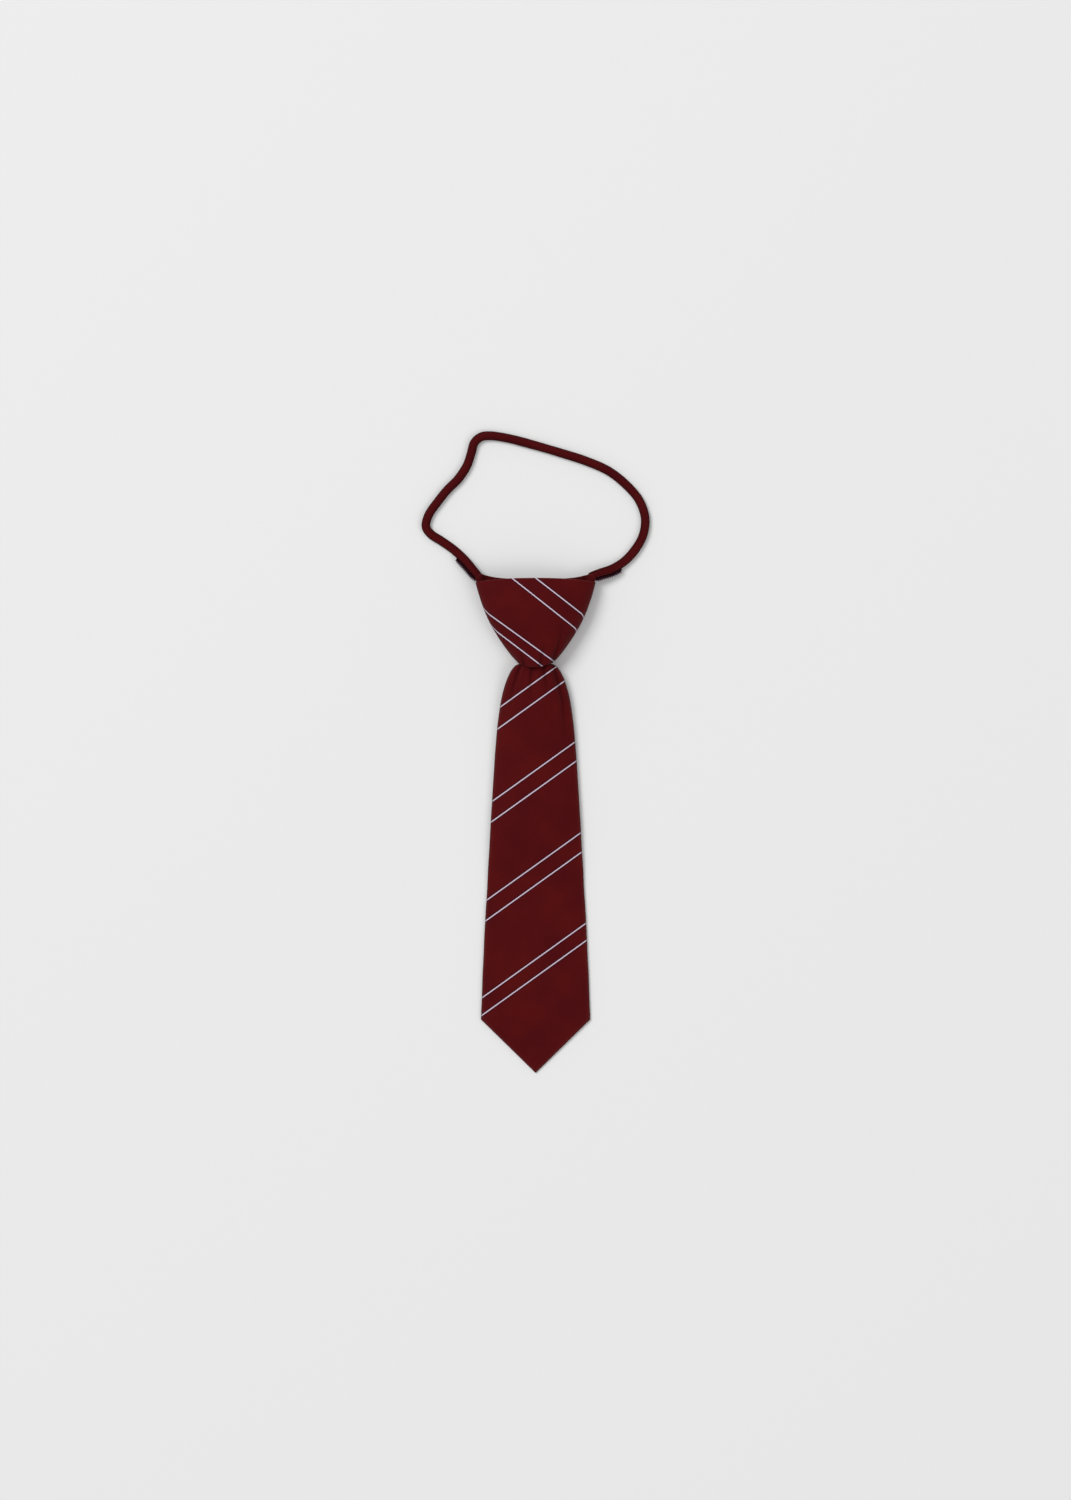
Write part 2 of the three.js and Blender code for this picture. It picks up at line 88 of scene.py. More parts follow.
def add_node(tree, kind, inputs={}, **settings):
    """Adds a node with its settings. Each input is a value, a socket, or a node whose result feeds it."""
    node = tree.nodes.new("ShaderNode" + kind)
    for name, value in settings.items():
        setattr(node, name, value)
    for name, value in inputs.items():
        if isinstance(name, int):
            socket = node.inputs[name]
        else:
            socket = next(s for s in node.inputs if s.enabled and s.name == name)
        if isinstance(value, bpy.types.Node):
            value = next(s for s in value.outputs if s.enabled)
        if isinstance(value, bpy.types.NodeSocket):
            tree.links.new(value, socket)
        else:
            socket.default_value = value
    return node


def new_material(name, **fixed):
    """A material with a Principled surface, whose fixed inputs are set on its own sockets."""
    material = bpy.data.materials.new(name)
    material.use_nodes = True
    surface = next(n for n in material.node_tree.nodes if n.type == "BSDF_PRINCIPLED")
    for socket_name, value in fixed.items():
        surface.inputs[socket_name.replace("_", " ")].default_value = value
    return material, material.node_tree, surface


table_reach = 4  # metres from its middle to each side
table_colour = "#E6E6E6"

table_corners = [(x * table_reach, y * table_reach, 0) for x, y in ((-1, -1), (1, -1), (1, 1), (-1, 1))]
table_mesh = bpy.data.meshes.new("table")
table_mesh.from_pydata(table_corners, [], [(0, 1, 2, 3)])
table = bpy.data.objects.new("table", table_mesh)
bpy.context.scene.collection.objects.link(table)
# Matt wall paint has no gloss, so the board stays an even pale grey with soft shadows.
table_paint, tree, surface = new_material("matt painted board", Roughness=0.9, Specular_IOR_Level=0.1)
surface.inputs["Base Color"].default_value = linear(table_colour)
table_mesh.materials.append(table_paint)
table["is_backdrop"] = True

softboxes = [
    {"name": "softbox_left", "place": (-4.4, 3.8, 6.6), "size": 4, "watts": 440},
    {"name": "softbox_right", "place": (5.6, -3.2, 6.4), "size": 4.4, "watts": 141},
]
for row in softboxes:
    light_data = bpy.data.lights.new(row["name"], "AREA")
    light_data.size = row["size"]
    light_data.energy = row["watts"]
    light = bpy.data.objects.new(row["name"], light_data)
    light.location = row["place"]
    light.rotation_euler = (-Vector(row["place"])).to_track_quat("-Z", "Y").to_euler()
    bpy.context.scene.collection.objects.link(light)

room_light = 0.52
room = bpy.data.worlds.new("room")
room.use_nodes = True
background = room.node_tree.nodes["Background"]
background.inputs["Color"].default_value = (1, 1, 1, 1)
background.inputs["Strength"].default_value = room_light
bpy.context.scene.world = room


# Blade
# The blade is an envelope of polyester twill round a soft interlining, folded over both side edges and
# slip-stitched down the middle of its back. It is cut on the bias, and ends in a square point.
def column(rows, name, place="y"):
    """A smooth curve through one column of a table, as a function of its place column."""
    places = np.array([row[place] for row in rows], float)
    values = np.array([row[name] for row in rows], float)
    slopes = np.gradient(values, places)

    def at(y):
        y = np.clip(y, places[0], places[-1])
        i = np.clip(np.searchsorted(places, y) - 1, 0, len(places) - 2)
        span = places[i + 1] - places[i]
        t = (y - places[i]) / span
        ends = (1 + 2 * t) * (1 - t) ** 2 * values[i] + t * t * (3 - 2 * t) * values[i + 1]
        return ends + span * t * (1 - t) * ((1 - t) * slopes[i] - t * slopes[i + 1])

    return at


def smoothstep(value, low, high):
    """0 up to low and 1 from high, with a smooth rise between them."""
    t = np.clip((value - low) / (high - low), 0, 1)
    return t * t * (3 - 2 * t)


def near(away, width):
    """1 where a distance is nothing, and fading out on both sides over about a width."""
    return np.exp(-((away / width) ** 2))


def signed_power(value, power):
    """A power of the value's size, with the value's own sign."""
    return np.sign(value) * np.abs(value) ** power


noise_layer_gap = 7.3  # between the layers of noise that two seeds read, so that they look unlike


def drift(x, y, size, seed):
    """Slow random rise and fall, between about -1 and 1, over lumps of a size in millimetres."""
    places = np.stack(np.broadcast_arrays(x / size, y / size, seed * noise_layer_gap), axis=-1)
    flat = [noise.noise(Vector(p)) for p in places.reshape(-1, 3)]
    return np.array(flat).reshape(places.shape[:-1])


def ripples(x, y, rows):
    """Unevenness of pressed cloth, as a sum of lumps. Each row gives their height, size and seed."""
    return sum(row["height"] * drift(x, y, row["size"], row["seed"]) for row in rows)


def gathers(x, away, count, wander, straight_within=6):
    """Fine pleats between -1 and 1 that fan out from a pinched place, at distances away from it."""
    return np.sin(np.arctan2(x, np.maximum(away, straight_within)) * count + wander)


def rounded_end(away, radius):
    """The size of a section that is a distance away from a rounded end."""
    return np.sqrt(1 - (1 - np.clip(away / radius, 0, 1)) ** 2)


def edge_gap(to_one, to_other):
    """How far points are from the nearest of two edges, rounded off in the corner where they meet."""
    to_one, to_other = np.maximum(to_one, 0), np.maximum(to_other, 0)
    return np.maximum(to_one + to_other - np.hypot(to_one, to_other), 0)


def close_at_ends(count):
    """Shares from -1 to 1, which lie closer together towards both ends."""
    return np.sin(np.linspace(-math.pi / 2, math.pi / 2, count))


def distances_along(points):
    """How far along a row of points each of them is."""
    return np.concatenate([[0], np.cumsum(np.linalg.norm(np.diff(points, axis=0), axis=1))])


fold_fade = 0.8  # how evenly a fold fades: at 1 it loses the same height on every millimetre
ridge_height, ridge_place, ridge_spread = 0.5, 1.8, 1.6  # as shares of a fold's depth and width
fold_shade_width = 0.5


def fold_marks(x, y, folds):
    """Height, and painted shade, of folds that each run down a row of points and fade out at the last one.
    A fold is a valley with a soft ridge on the side that it leans to."""
    x, y = np.broadcast_arrays(x, y)
    height, shade = np.zeros(x.shape), np.zeros(x.shape)
    for fold in folds:
        route = np.array(fold["route"], float)
        starts = distances_along(route)
        nearest, side, share = np.full(x.shape, 1e9), np.zeros(x.shape), np.zeros(x.shape)
        for (ax, ay), (bx, by), start, length in zip(route, route[1:], starts, np.diff(starts)):
            tx, ty = (bx - ax) / length, (by - ay) / length
            along = np.clip((x - ax) * tx + (y - ay) * ty, 0, length)
            dx, dy = x - ax - along * tx, y - ay - along * ty
            away = np.hypot(dx, dy)
            nearer = away < nearest
            nearest = np.where(nearer, away, nearest)
            side = np.where(nearer, np.sign(dy * tx - dx * ty) * away, side)
            share = np.where(nearer, (start + along) / starts[-1], share)
        strength = (1 - share) ** fold_fade
        side = side * fold["lean"] / fold["width"]
        ridge = ridge_height * np.exp(-((side - ridge_place) ** 2) / ridge_spread)
        height += strength * fold["depth"] * (ridge - near(side, 1))
        shade = np.maximum(shade, strength * near(side, fold_shade_width))
    return height, shade


same_place = 0.000002  # metres: points nearer than this are joined


def make_piece(name, sheets, material, nodes=()):
    """A smooth mesh of sheets, each a grid of points in millimetres, with their places in the cloth.
    Points that lie on each other are joined. The piece rides on the tie and stands for its CAD nodes."""
    points, faces, corners = [], [], []
    # One mark is shade painted into the cloth's colour: in folds and gaps, and under turned edges.
    marks = {"painted_shade": [], "rubbed": [], "lining": []}
    count = 0
    for sheet in sheets:
        rows, columns = sheet["points"].shape[:2]
        first = (np.arange(rows - 1)[:, None] * columns + np.arange(columns - 1)[None, :]).reshape(-1)
        quads = np.stack([first, first + 1, first + columns + 1, first + columns], axis=-1)
        points.append(sheet["points"].reshape(-1, 3) / 1000)
        faces.append(quads + count)
        corners.append(sheet["cloth"].reshape(-1, 2)[quads].reshape(-1, 2) / 1000)
        for mark, values in marks.items():
            values.append(np.broadcast_to(sheet.get(mark, 0), (rows, columns)).reshape(-1))
        count += rows * columns
    mesh = bpy.data.meshes.new(name)
    mesh.from_pydata(np.concatenate(points).tolist(), [], np.concatenate(faces).tolist())
    layer = mesh.uv_layers.new(name="cloth")
    layer.data.foreach_set("uv", np.concatenate(corners).astype(np.float32).ravel())
    for mark, values in marks.items():
        if np.any(np.concatenate(values)):
            attribute = mesh.attributes.new(mark, "FLOAT", "POINT")
            attribute.data.foreach_set("value", np.concatenate(values).astype(np.float32))
    work = bmesh.new()
    work.from_mesh(mesh)
    bmesh.ops.remove_doubles(work, verts=work.verts, dist=same_place)
    bmesh.ops.recalc_face_normals(work, faces=work.faces)
    if work.calc_volume(signed=True) < 0:
        bmesh.ops.reverse_faces(work, faces=work.faces)
    for face in work.faces:
        face.smooth = True
    work.to_mesh(mesh)
    work.free()
    mesh.materials.append(material)
    piece = bpy.data.objects.new(name, mesh)
    bpy.context.scene.collection.objects.link(piece)
    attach(piece, "root")
    if nodes:
        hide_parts(*nodes)
    return piece


twill_pitch = 1.5  # real ribs are about 0.35 mm apart, and are drawn coarser so that they show
rib_share = 0.75  # of the weave's relief, and the threads across have the rest
cross_angle, cross_share = math.radians(63), 0.6  # the threads across: their angle to the ribs, and pitch
rib_wander, wander_size = 2, 10 / 3  # radians of its wave that a rib strays, and over what length
cloud_size = 25  # of the uneven dye
stripe_width, stripe_edge = 0.75, 0.6  # of the pale line, and of the dark thread on each side of it
stripe_raggedness = 0.04
lining_edge_mark = 3  # the lining's mark is this at its edge, and changes by 1 each millimetre
burgundy = ("#4A0C10", "#540F0F", "#33080B")  # its dye where it is darker and paler, and painted shade between its ribs


def woven_cloth(name, rib_angle, pitch=twill_pitch, dye=burgundy, stripes=()):
    """A polyester weave: a faint diagonal rib, and a low sheen of the cloth's own colour.
    Pale lines are woven in. Each passes through a point of the cloth, and rises by a slope."""
    # The dye's third colour is painted shade, mixed into the low places between the ribs.
    material, tree, surface = new_material(
        name,
        IOR=1.5,
        Specular_IOR_Level=0.16,
        Specular_Tint=linear("#E07070"),
        Sheen_Weight=0.03,
        Sheen_Roughness=0.4,
        Sheen_Tint=linear("#C86464"),
    )
    metres = add_node(tree, "UVMap", uv_map="cloth")
    place = add_node(tree, "VectorMath", {0: metres, "Scale": 1000}, operation="SCALE")

    # Each rib wanders a little, as threads do, and is cut by finer threads that run across it.
    wander = add_node(tree, "TexNoise", {"Vector": place, "Scale": 1 / wander_size, "Detail": 2})
    waves = []
    for angle, apart in ((rib_angle, pitch), (rib_angle + cross_angle, cross_share * pitch)):
        normal = [-2 * math.pi / apart * math.sin(angle), 2 * math.pi / apart * math.cos(angle), 0]
        phase = add_node(tree, "VectorMath", {0: place, 1: normal}, operation="DOT_PRODUCT")
        inputs = {0: wander, 1: rib_wander, 2: phase.outputs["Value"]}
        phase = add_node(tree, "Math", inputs, operation="MULTIPLY_ADD")
        waves.append(add_node(tree, "Math", {0: phase}, operation="SINE"))
    rib = add_node(tree, "Math", {0: waves[0], 1: rib_share}, operation="MULTIPLY")
    weave = add_node(tree, "Math", {0: waves[1], 1: 1 - rib_share, 2: rib}, operation="MULTIPLY_ADD")

    # The dye lies a little unevenly, and the low places between the ribs are painted darker, as shade.
    cloudy = add_node(tree, "TexNoise", {"Vector": place, "Scale": 1 / cloud_size, "Detail": 3})
    dyed = add_node(tree, "ValToRGB", {"Fac": cloudy})
    for element, position, shade in zip(dyed.color_ramp.elements, (0.35, 0.65), dye):
        element.position, element.color = position, linear(shade)
    low = add_node(tree, "MapRange", {"Value": weave, "From Min": -1, "To Min": 0.3, "To Max": 0})
    colour = add_node(tree, "Mix", {"Factor": low, "A": dyed, "B": linear(dye[2])}, data_type="RGBA")

    # Each line lies between two dark threads, and its edges step with the weave.
    to_line = 1000.0  # millimetres to the nearest line, far away until there is one
    for x, y, rise in stripes:
        angle = math.atan(rise)
        normal = [-math.sin(angle), math.cos(angle), 0]
        place_across = add_node(tree, "VectorMath", {0: place, 1: normal}, operation="DOT_PRODUCT")
        middle = y * math.cos(angle) - x * math.sin(angle)
        off = add_node(tree, "Math", {0: place_across.outputs["Value"], 1: middle}, operation="SUBTRACT")
        off = add_node(tree, "Math", {0: off}, operation="ABSOLUTE")
        to_line = add_node(tree, "Math", {0: off, 1: to_line}, operation="MINIMUM")
    if stripes:
        # The pale line is painted darker in the weave's low places, as shade.
        inputs = {"Factor": low, "A": linear("#D0BDCB"), "B": linear("#9C8B98")}
        pale = add_node(tree, "Mix", inputs, data_type="RGBA")
        inputs = {0: weave, 1: stripe_raggedness, 2: to_line}
        to_line = add_node(tree, "Math", inputs, operation="MULTIPLY_ADD")
        dark_threads = (stripe_width + 2 * stripe_edge, linear("#22081A"))
        for width, shade in (dark_threads, (stripe_width, pale.outputs[2])):
            line = add_node(tree, "Math", {0: to_line, 1: width / 2}, operation="LESS_THAN")
            inputs = {"Factor": line, "A": colour.outputs[2], "B": shade}
            colour = add_node(tree, "Mix", inputs, data_type="RGBA")

    # The plain lining shows where a mark is over a limit, turned edges are rubbed paler, shade is painted
    # dark.
    for mark, limit, strength, hex_colour in (
        ("lining", lining_edge_mark, 5, "#3A0D12"),
        ("rubbed", 0, 0.14, "#8A4A48"),
        ("painted_shade", 0, 0.7, "#1C0405"),
    ):
        amount = add_node(tree, "Attribute", attribute_name=mark).outputs["Fac"]
        amount = add_node(tree, "Math", {0: amount, 1: limit}, operation="SUBTRACT")
        amount = add_node(tree, "Math", {0: amount, 1: strength}, operation="MULTIPLY", use_clamp=True)
        inputs = {"Factor": amount, "A": colour.outputs[2], "B": linear(hex_colour)}
        colour = add_node(tree, "Mix", inputs, data_type="RGBA")
    bump = add_node(tree, "Bump", {"Height": weave, "Strength": 0.4, "Distance": 0.00015})
    rough = add_node(tree, "MapRange", {"Value": weave, "From Min": -1, "To Min": 0.8, "To Max": 0.62})
    tree.links.new(colour.outputs[2], surface.inputs["Base Color"])
    tree.links.new(rough.outputs[0], surface.inputs["Roughness"])
    tree.links.new(bump.outputs[0], surface.inputs["Normal"])
    return material


blade_stripe_rise = 0.717
blade_stripes = [45.1, 32.2, -11.7, -24.5, -72.6, -85.4, -133.1, -144.3]  # heights in the blade's middle
# Cut on the bias, the twill gives a dry and silky face: steep faint ribs, and lines that rise to the right.
blade_cloth = woven_cloth(
    "striped polyester twill, bias cut",
    math.atan(blade_stripe_rise) + math.radians(70),
    stripes=[(0, y, blade_stripe_rise) for y in blade_stripes],
)

tip_y = -206.1
corner_y = -171.7
neck_end_y = 66.5
blade_half_width = 35.1
edge_share = 0.62  # of the blade's thickness, at its folded edges

# under is the height of the blade's underside in the middle, and drop is how much lower its edges hang.
blade_rows = [
    {"y": corner_y, "half_width": blade_half_width, "thickness": 3.3, "under": 0, "drop": 0},
    {"y": -130, "half_width": 33.45, "thickness": 3.5, "under": 0, "drop": 0},
    {"y": -100, "half_width": 31.9, "thickness": 3.6, "under": 0, "drop": 0},
    {"y": -84, "half_width": 30.95, "thickness": 3.6, "under": 0.6, "drop": 0.4},
    {"y": -62, "half_width": 29.8, "thickness": 3.7, "under": 3, "drop": 2},
    {"y": -46, "half_width": 28.9, "thickness": 3.8, "under": 4, "drop": 2.7},
    {"y": -30, "half_width": 27.95, "thickness": 3.9, "under": 4.3, "drop": 3.1},
    {"y": 5, "half_width": 25.6, "thickness": 4.4, "under": 4.7, "drop": 3.6},
    {"y": 20, "half_width": 24.2, "thickness": 4.9, "under": 5.1, "drop": 3.8},
    {"y": 30, "half_width": 22.8, "thickness": 5.3, "under": 5.5, "drop": 3.8},
    {"y": 40, "half_width": 20.6, "thickness": 5.6, "under": 6, "drop": 3.6},
    {"y": 48, "half_width": 17.8, "thickness": 5.5, "under": 6.4, "drop": 2.8},
    {"y": 52.4, "half_width": 15.5, "thickness": 4.9, "under": 6.6, "drop": 1.8},
    {"y": 54.6, "half_width": 13.7, "thickness": 4.8, "under": 6.7, "drop": 1.1},
    {"y": 55.7, "half_width": 12.5, "thickness": 4.9, "under": 6.7, "drop": 0.7},
    {"y": 56.5, "half_width": 10.4, "thickness": 5.1, "under": 6.7, "drop": 0.5},
    {"y": 57.6, "half_width": 8.2, "thickness": 5.2, "under": 6.7, "drop": 0.3},
    {"y": neck_end_y, "half_width": 7.7, "thickness": 4.5, "under": 6.8, "drop": 0.3},
]
blade_folds = [
    {"route": [(-9.2, 57), (-10.9, 53), (-14.8, 40.5), (-16.6, 27)], "depth": 1.6, "width": 1.5, "lean": 1},
    {"route": [(10.4, 57), (13, 50.8), (17.2, 33.8), (19.8, 8)], "depth": 1.9, "width": 1.7, "lean": -1},
    {"route": [(-2.2, 58), (-3.4, 46), (-4, 32)], "depth": 0.7, "width": 2.2, "lean": 1},
    {"route": [(4.6, 58), (6.2, 47), (7.4, 36)], "depth": 0.6, "width": 2, "lean": -1},
]

blade_ripples = [{"height": 0.34, "size": 26, "seed": 2}, {"height": 0.12, "size": 9, "seed": 3}]
edge_wander = 0.16  # how far the side edges stray from their line, above the point
edge_softness = 7  # how far in from its edges the blade keeps thickening
point_thinning = 0.3  # the share of its thickness that is missing at the tip
gather_height, gather_count, gather_y = 0.22, 19, 68  # pleats, which fan out from inside the knot
flap_apex_y, flap_spread, hem = -128, 1.35, 4.5  # where the back flaps part, how steeply, and the hem
flap_step, flap_fade, lining_step = 0.45, 7, 0.8  # how high the flaps lie on each other and on the lining
turned_shade, turned_width = 0.75, 0.55  # the shade where the cloth turns under
rubbed_width = 1.1

# The rows of the mesh lie closer beside the point's edge and towards the knot. Towards the point they bend,
# until the last one is the point's own outline.
column_count = 97
close_rows, close_step, close_growth = 12, 0.02, 2.2
row_step, fine_step = 1.25, 0.5
rows_from_y, fine_from_y = corner_y + 6, 44
bent_reach = 110

shares = close_at_ends(column_count)[None, :]
point_height = corner_y - tip_y
edge_places = np.concatenate(
    [
        corner_y + close_step * np.arange(close_rows) ** close_growth,
        np.arange(rows_from_y, fine_from_y, row_step),
        np.arange(fine_from_y, neck_end_y, fine_step),
        [neck_end_y],
    ]
)[:, None]
bent = (1 - np.clip((edge_places - corner_y) / bent_reach, 0, 1)) ** 2
y = edge_places - point_height * bent * (1 - np.abs(shares))
row_y = np.maximum(y, corner_y)
half_width = column(blade_rows, "half_width")(row_y)
stray = edge_wander * drift(np.sign(shares), edge_places, 17, 1)
half_width = half_width + stray * smoothstep(y, -165, -150)
x = half_width * shares

# gap is how far each point is from the nearest edge, whether a side or the point's.
slope = np.gradient(half_width[:, 0], edge_places[:, 0])[:, None]
side_gap = (half_width - np.abs(x)) / np.sqrt(1 + slope**2)
point_gap = y - tip_y - np.abs(x) * point_height / blade_half_width
point_gap = point_gap / math.hypot(1, point_height / blade_half_width)
gap = edge_gap(side_gap, point_gap)

# The edges are rolled: the front and the back meet at them in a round fold.
in_point = np.clip((corner_y - y) / point_height, 0, 1)
full = column(blade_rows, "thickness")(row_y) * (1 - point_thinning * in_point**2)
thickness = full * (edge_share + (1 - edge_share) * (1 - np.exp(-gap / edge_softness)))
roll = rounded_end(gap, full * edge_share / 2)
under = column(blade_rows, "under")(row_y) - column(blade_rows, "drop")(row_y) * shares**2
middle = np.maximum(under, 0) + thickness / 2

inside = smoothstep(gap, 0.5, 6)
pinch = smoothstep(y, 20, 54)
pleats = gather_height * pinch * gathers(x, gather_y - y, gather_count, 0.8 * drift(x, y, 20, 4))
fold_height, fold_shade = fold_marks(x, y, blade_folds)
in_mouth = smoothstep(y, 56, 59)
front = middle + roll * thickness / 2
front = front + inside * (ripples(x, y, blade_ripples) + pleats + fold_height * (1 - in_mouth))

# On the back, the left flap is folded over the right one, and the flaps part round the lining at the point.
lining_gap = np.minimum((flap_apex_y - y) / flap_spread - np.abs(x), gap - hem)
seam_step = flap_step * smoothstep(x, -0.1, 0.6) * np.exp(-np.maximum(x, 0) / flap_fade)
seam_step = np.maximum(seam_step * smoothstep(gap, 1, 4), lining_step * smoothstep(lining_gap, -0.4, 0.6))
back = np.maximum(middle - roll * thickness / 2, 0) + seam_step

# Shade is painted where the cloth turns under at its edges, in its folds, beside the back flap's edge and
# along the lining's edge. Its edges are rubbed paler.
turned_under_shade = turned_shade * near(gap, turned_width)
rubbed = near(gap, rubbed_width)
flap_shade = 0.6 * near(x, 0.4) * (gap > 1) * (lining_gap < 0)
lining_shade = 0.7 * near(lining_gap - 0.4, 0.6)
front_sheet = {
    "points": np.stack([x, y, front], -1),
    "cloth": np.stack([x, y], -1),
    "painted_shade": fold_shade * (1 - in_mouth) + turned_under_shade,
    "rubbed": rubbed,
}
back_marks = {
    "points": np.stack([x, y, back], -1),
    "painted_shade": flap_shade + lining_shade,
    "rubbed": rubbed,
    "lining": np.maximum(lining_gap + lining_edge_mark, 0),
}
centre_column = column_count // 2
blade_sheets = [front_sheet]
for flap, way in ((slice(0, centre_column + 1), -1), (slice(centre_column, column_count), 1)):
    sheet = {key: values[:, flap] for key, values in back_marks.items()}
    sheet["cloth"] = np.stack([way * (2 * half_width - np.abs(x)), y], -1)[:, flap]
    neck_end = {key: np.stack([front_sheet[key][-1, flap], sheet[key][-1]]) for key in ("points", "cloth")}
    blade_sheets += [sheet, neck_end]
blade = make_piece("blade_envelope", blade_sheets, blade_cloth, ["blade"])


# Knot wrap
# A folded and interlined band of the same twill goes round the knot as a tapered sleeve, and its two ends
# are sewn together behind. The knot is pinched at its lower mouth, where the blade comes out.
wall = 1.8
front_power, back_power = 2.3, 3.2  # how square the knot's section is in front, and on the table
back_press = 0.5  # how far the table presses its back flat
knot_rows = [
    {"y": 53, "half_width": 9, "front": 15.1, "middle": 6.6},
    {"y": 57.2, "half_width": 11.3, "front": 15.6, "middle": 6.6},
    {"y": 60.9, "half_width": 14.8, "front": 16.2, "middle": 6.6},
    {"y": 66.8, "half_width": 19.4, "front": 17, "middle": 6.6},
    {"y": 74.5, "half_width": 24.6, "front": 17.9, "middle": 6.6},
    {"y": 82.2, "half_width": 29.1, "front": 18.5, "middle": 6.7},
    {"y": 89.9, "half_width": 32.6, "front": 18.9, "middle": 6.8},
    {"y": 98.9, "half_width": 35.8, "front": 18.7, "middle": 6.8},
    {"y": 106.6, "half_width": 38, "front": 17.9, "middle": 6.7},
    {"y": 114, "half_width": 39.4, "front": 16.4, "middle": 6.6},
]
wrap_top = {"side": 108.4, "face": 2.2, "back": -3.2, "tilt": 0}
wrap_bottom = {"side": 57.4, "face": -2.3, "back": 1.4, "tilt": 0.45}
long_fold = [(10.6, 55), (11.6, 60), (15, 69.5), (16.9, 77), (17.6, 83)]
knot_folds = [
    {"route": long_fold, "depth": 1.5, "width": 1.6, "lean": -1},
    {"route": [(-7.2, 55), (-8.5, 60.5), (-10.8, 67)], "depth": 1.0, "width": 1.3, "lean": 1},
    {"route": [(2.5, 54), (3.6, 61), (5.6, 70)], "depth": 0.6, "width": 2, "lean": 1},
]
knot_ripples = [{"height": 0.4, "size": 21, "seed": 6}, {"height": 0.12, "size": 8, "seed": 7}]
knot_gather_height, knot_gather_count, knot_gather_y = 0.16, 15, 38  # pleats, from below the lower mouth
knot_seam_height, knot_seam_width = 0.7, 0.6
knot_turned_shade, knot_turned_width = 0.6, 0.45
knot_half_width = column(knot_rows, "half_width")
knot_front = column(knot_rows, "front")
knot_middle = column(knot_rows, "middle")


def knot_point(turn, y, inset):
    """Places on the knot's section: turn runs from the right side over the front. Inset is inwards."""
    in_front = np.sin(turn) >= 0
    power = np.where(in_front, 2 / front_power, 2 / back_power)
    share, rise = signed_power(np.cos(turn), power), np.abs(np.sin(turn)) ** power
    middle = knot_middle(y)
    over = middle + (knot_front(y) - inset - middle) * rise
    behind = np.maximum(inset, middle - (middle + back_press - inset) * rise)
    return (knot_half_width(y) - inset) * share, np.where(in_front, over, behind)


def edge_y(edge, turn):
    """The height of one of the wrap's edges, all round it."""
    rise = np.where(np.sin(turn) >= 0, edge["face"], edge["back"])
    return edge["side"] + edge["tilt"] * np.cos(turn) + rise * np.sin(turn) ** 2


def cloth_across(x, z, turn, edge_start=0.93):
    """How far round the knot the cloth has gone. Over the face it runs straight, then follows the bend."""
    flat = (np.abs(x) / np.abs(x).max(axis=1, keepdims=True) < edge_start) & (np.sin(turn) > 0)
    across, bend = np.diff(x, axis=1), np.hypot(np.diff(x, axis=1), np.diff(z, axis=1))
    steps = np.where(flat[:, 1:] & flat[:, :-1], np.abs(across), bend)
    total = np.concatenate([np.zeros((len(x), 1)), np.cumsum(steps, axis=1)], axis=1)
    front = x.shape[1] // 2
    return total[:, front : front + 1] - total


knot_stripes = [
    (-9.31, 106.6, -0.79),
    (6.1, 106.6, -0.776),
    (-26.97, 86.06, -0.724),
    (-21.5, 74.5, -0.762),
]
# Folded round the knot, the same twill shows its ribs and lines running down to the right.
knot_cloth = woven_cloth("striped polyester twill, folded", math.radians(-70), stripes=knot_stripes)

round_count, down_count, rim_count = 181, 46, 9
rim_round = 0.45 * wall
turns = np.linspace(-math.pi / 2, 1.5 * math.pi, round_count)[None, :]
on_face = smoothstep(np.sin(turns), 0.15, 0.55)
down = np.linspace(0, 1, down_count)
rim = np.linspace(0, math.pi, rim_count)[1:-1]
stations = [(share, 0.0, 0.0) for share in down]
stations += [(1.0, wall / 2 * (1 - math.cos(a)), -rim_round * math.sin(a)) for a in rim]
stations += [(share, wall, 0.0) for share in down[::-3]]
stations += [(0.0, wall / 2 * (1 + math.cos(a)), rim_round * math.sin(a)) for a in rim]
stations += [stations[0]]
down, inset, past = (np.array(part)[:, None] for part in zip(*stations))
y = edge_y(wrap_top, turns) * (1 - down) + edge_y(wrap_bottom, turns) * down + past
x, z = knot_point(turns, y, inset)
outer = 1 - inset / wall
fold_height, fold_shade = fold_marks(x, y, knot_folds)
low_pinch = 1 - smoothstep(y, 58, 80)
pleats = gathers(x, y - knot_gather_y, knot_gather_count, 1.1 * drift(x, y, 18, 5))
pleats = knot_gather_height * low_pinch * pleats
seam = near(x, knot_seam_width) * (np.sin(turns) < 0)
turned_under_shade = knot_turned_shade * near(knot_half_width(y) - np.abs(x), knot_turned_width)
z = z + on_face * (ripples(x, y, knot_ripples) + pleats + fold_height) + knot_seam_height * seam * outer
# Shade is painted into the folds on its face, along the seam behind, and where its sides turn under.
wrap_sheet = {
    "points": np.stack([x, y, z], -1),
    "cloth": np.stack([cloth_across(x, z, turns), y], -1),
    "painted_shade": fold_shade * on_face * outer + 0.6 * seam + turned_under_shade,
    "rubbed": np.clip(np.abs(past) / rim_round, 0, 1),
}
knot_wrap = make_piece("knot_wrap_sleeve", [wrap_sheet], knot_cloth, ["knot_wrap"])


# Knot inner
# Inside the wrap lies a second tube of the cloth, folded round a core. It shows above the wrap at both
# corners as two ears, where it is drawn together round the ends of the neck strap and sewn shut.
# The plain cloth is the same yarn in a finer weave without lines, a shade darker than the blade.
plain_pitch = 1  # finer than the blade's, and drawn coarser than real ribs too
plain_dye_and_rib_shade = ("#430A0E", "#4C0E0F", "#2E070A")
plain_cloth = woven_cloth("plain polyester twill", math.radians(38), plain_pitch, plain_dye_and_rib_shade)

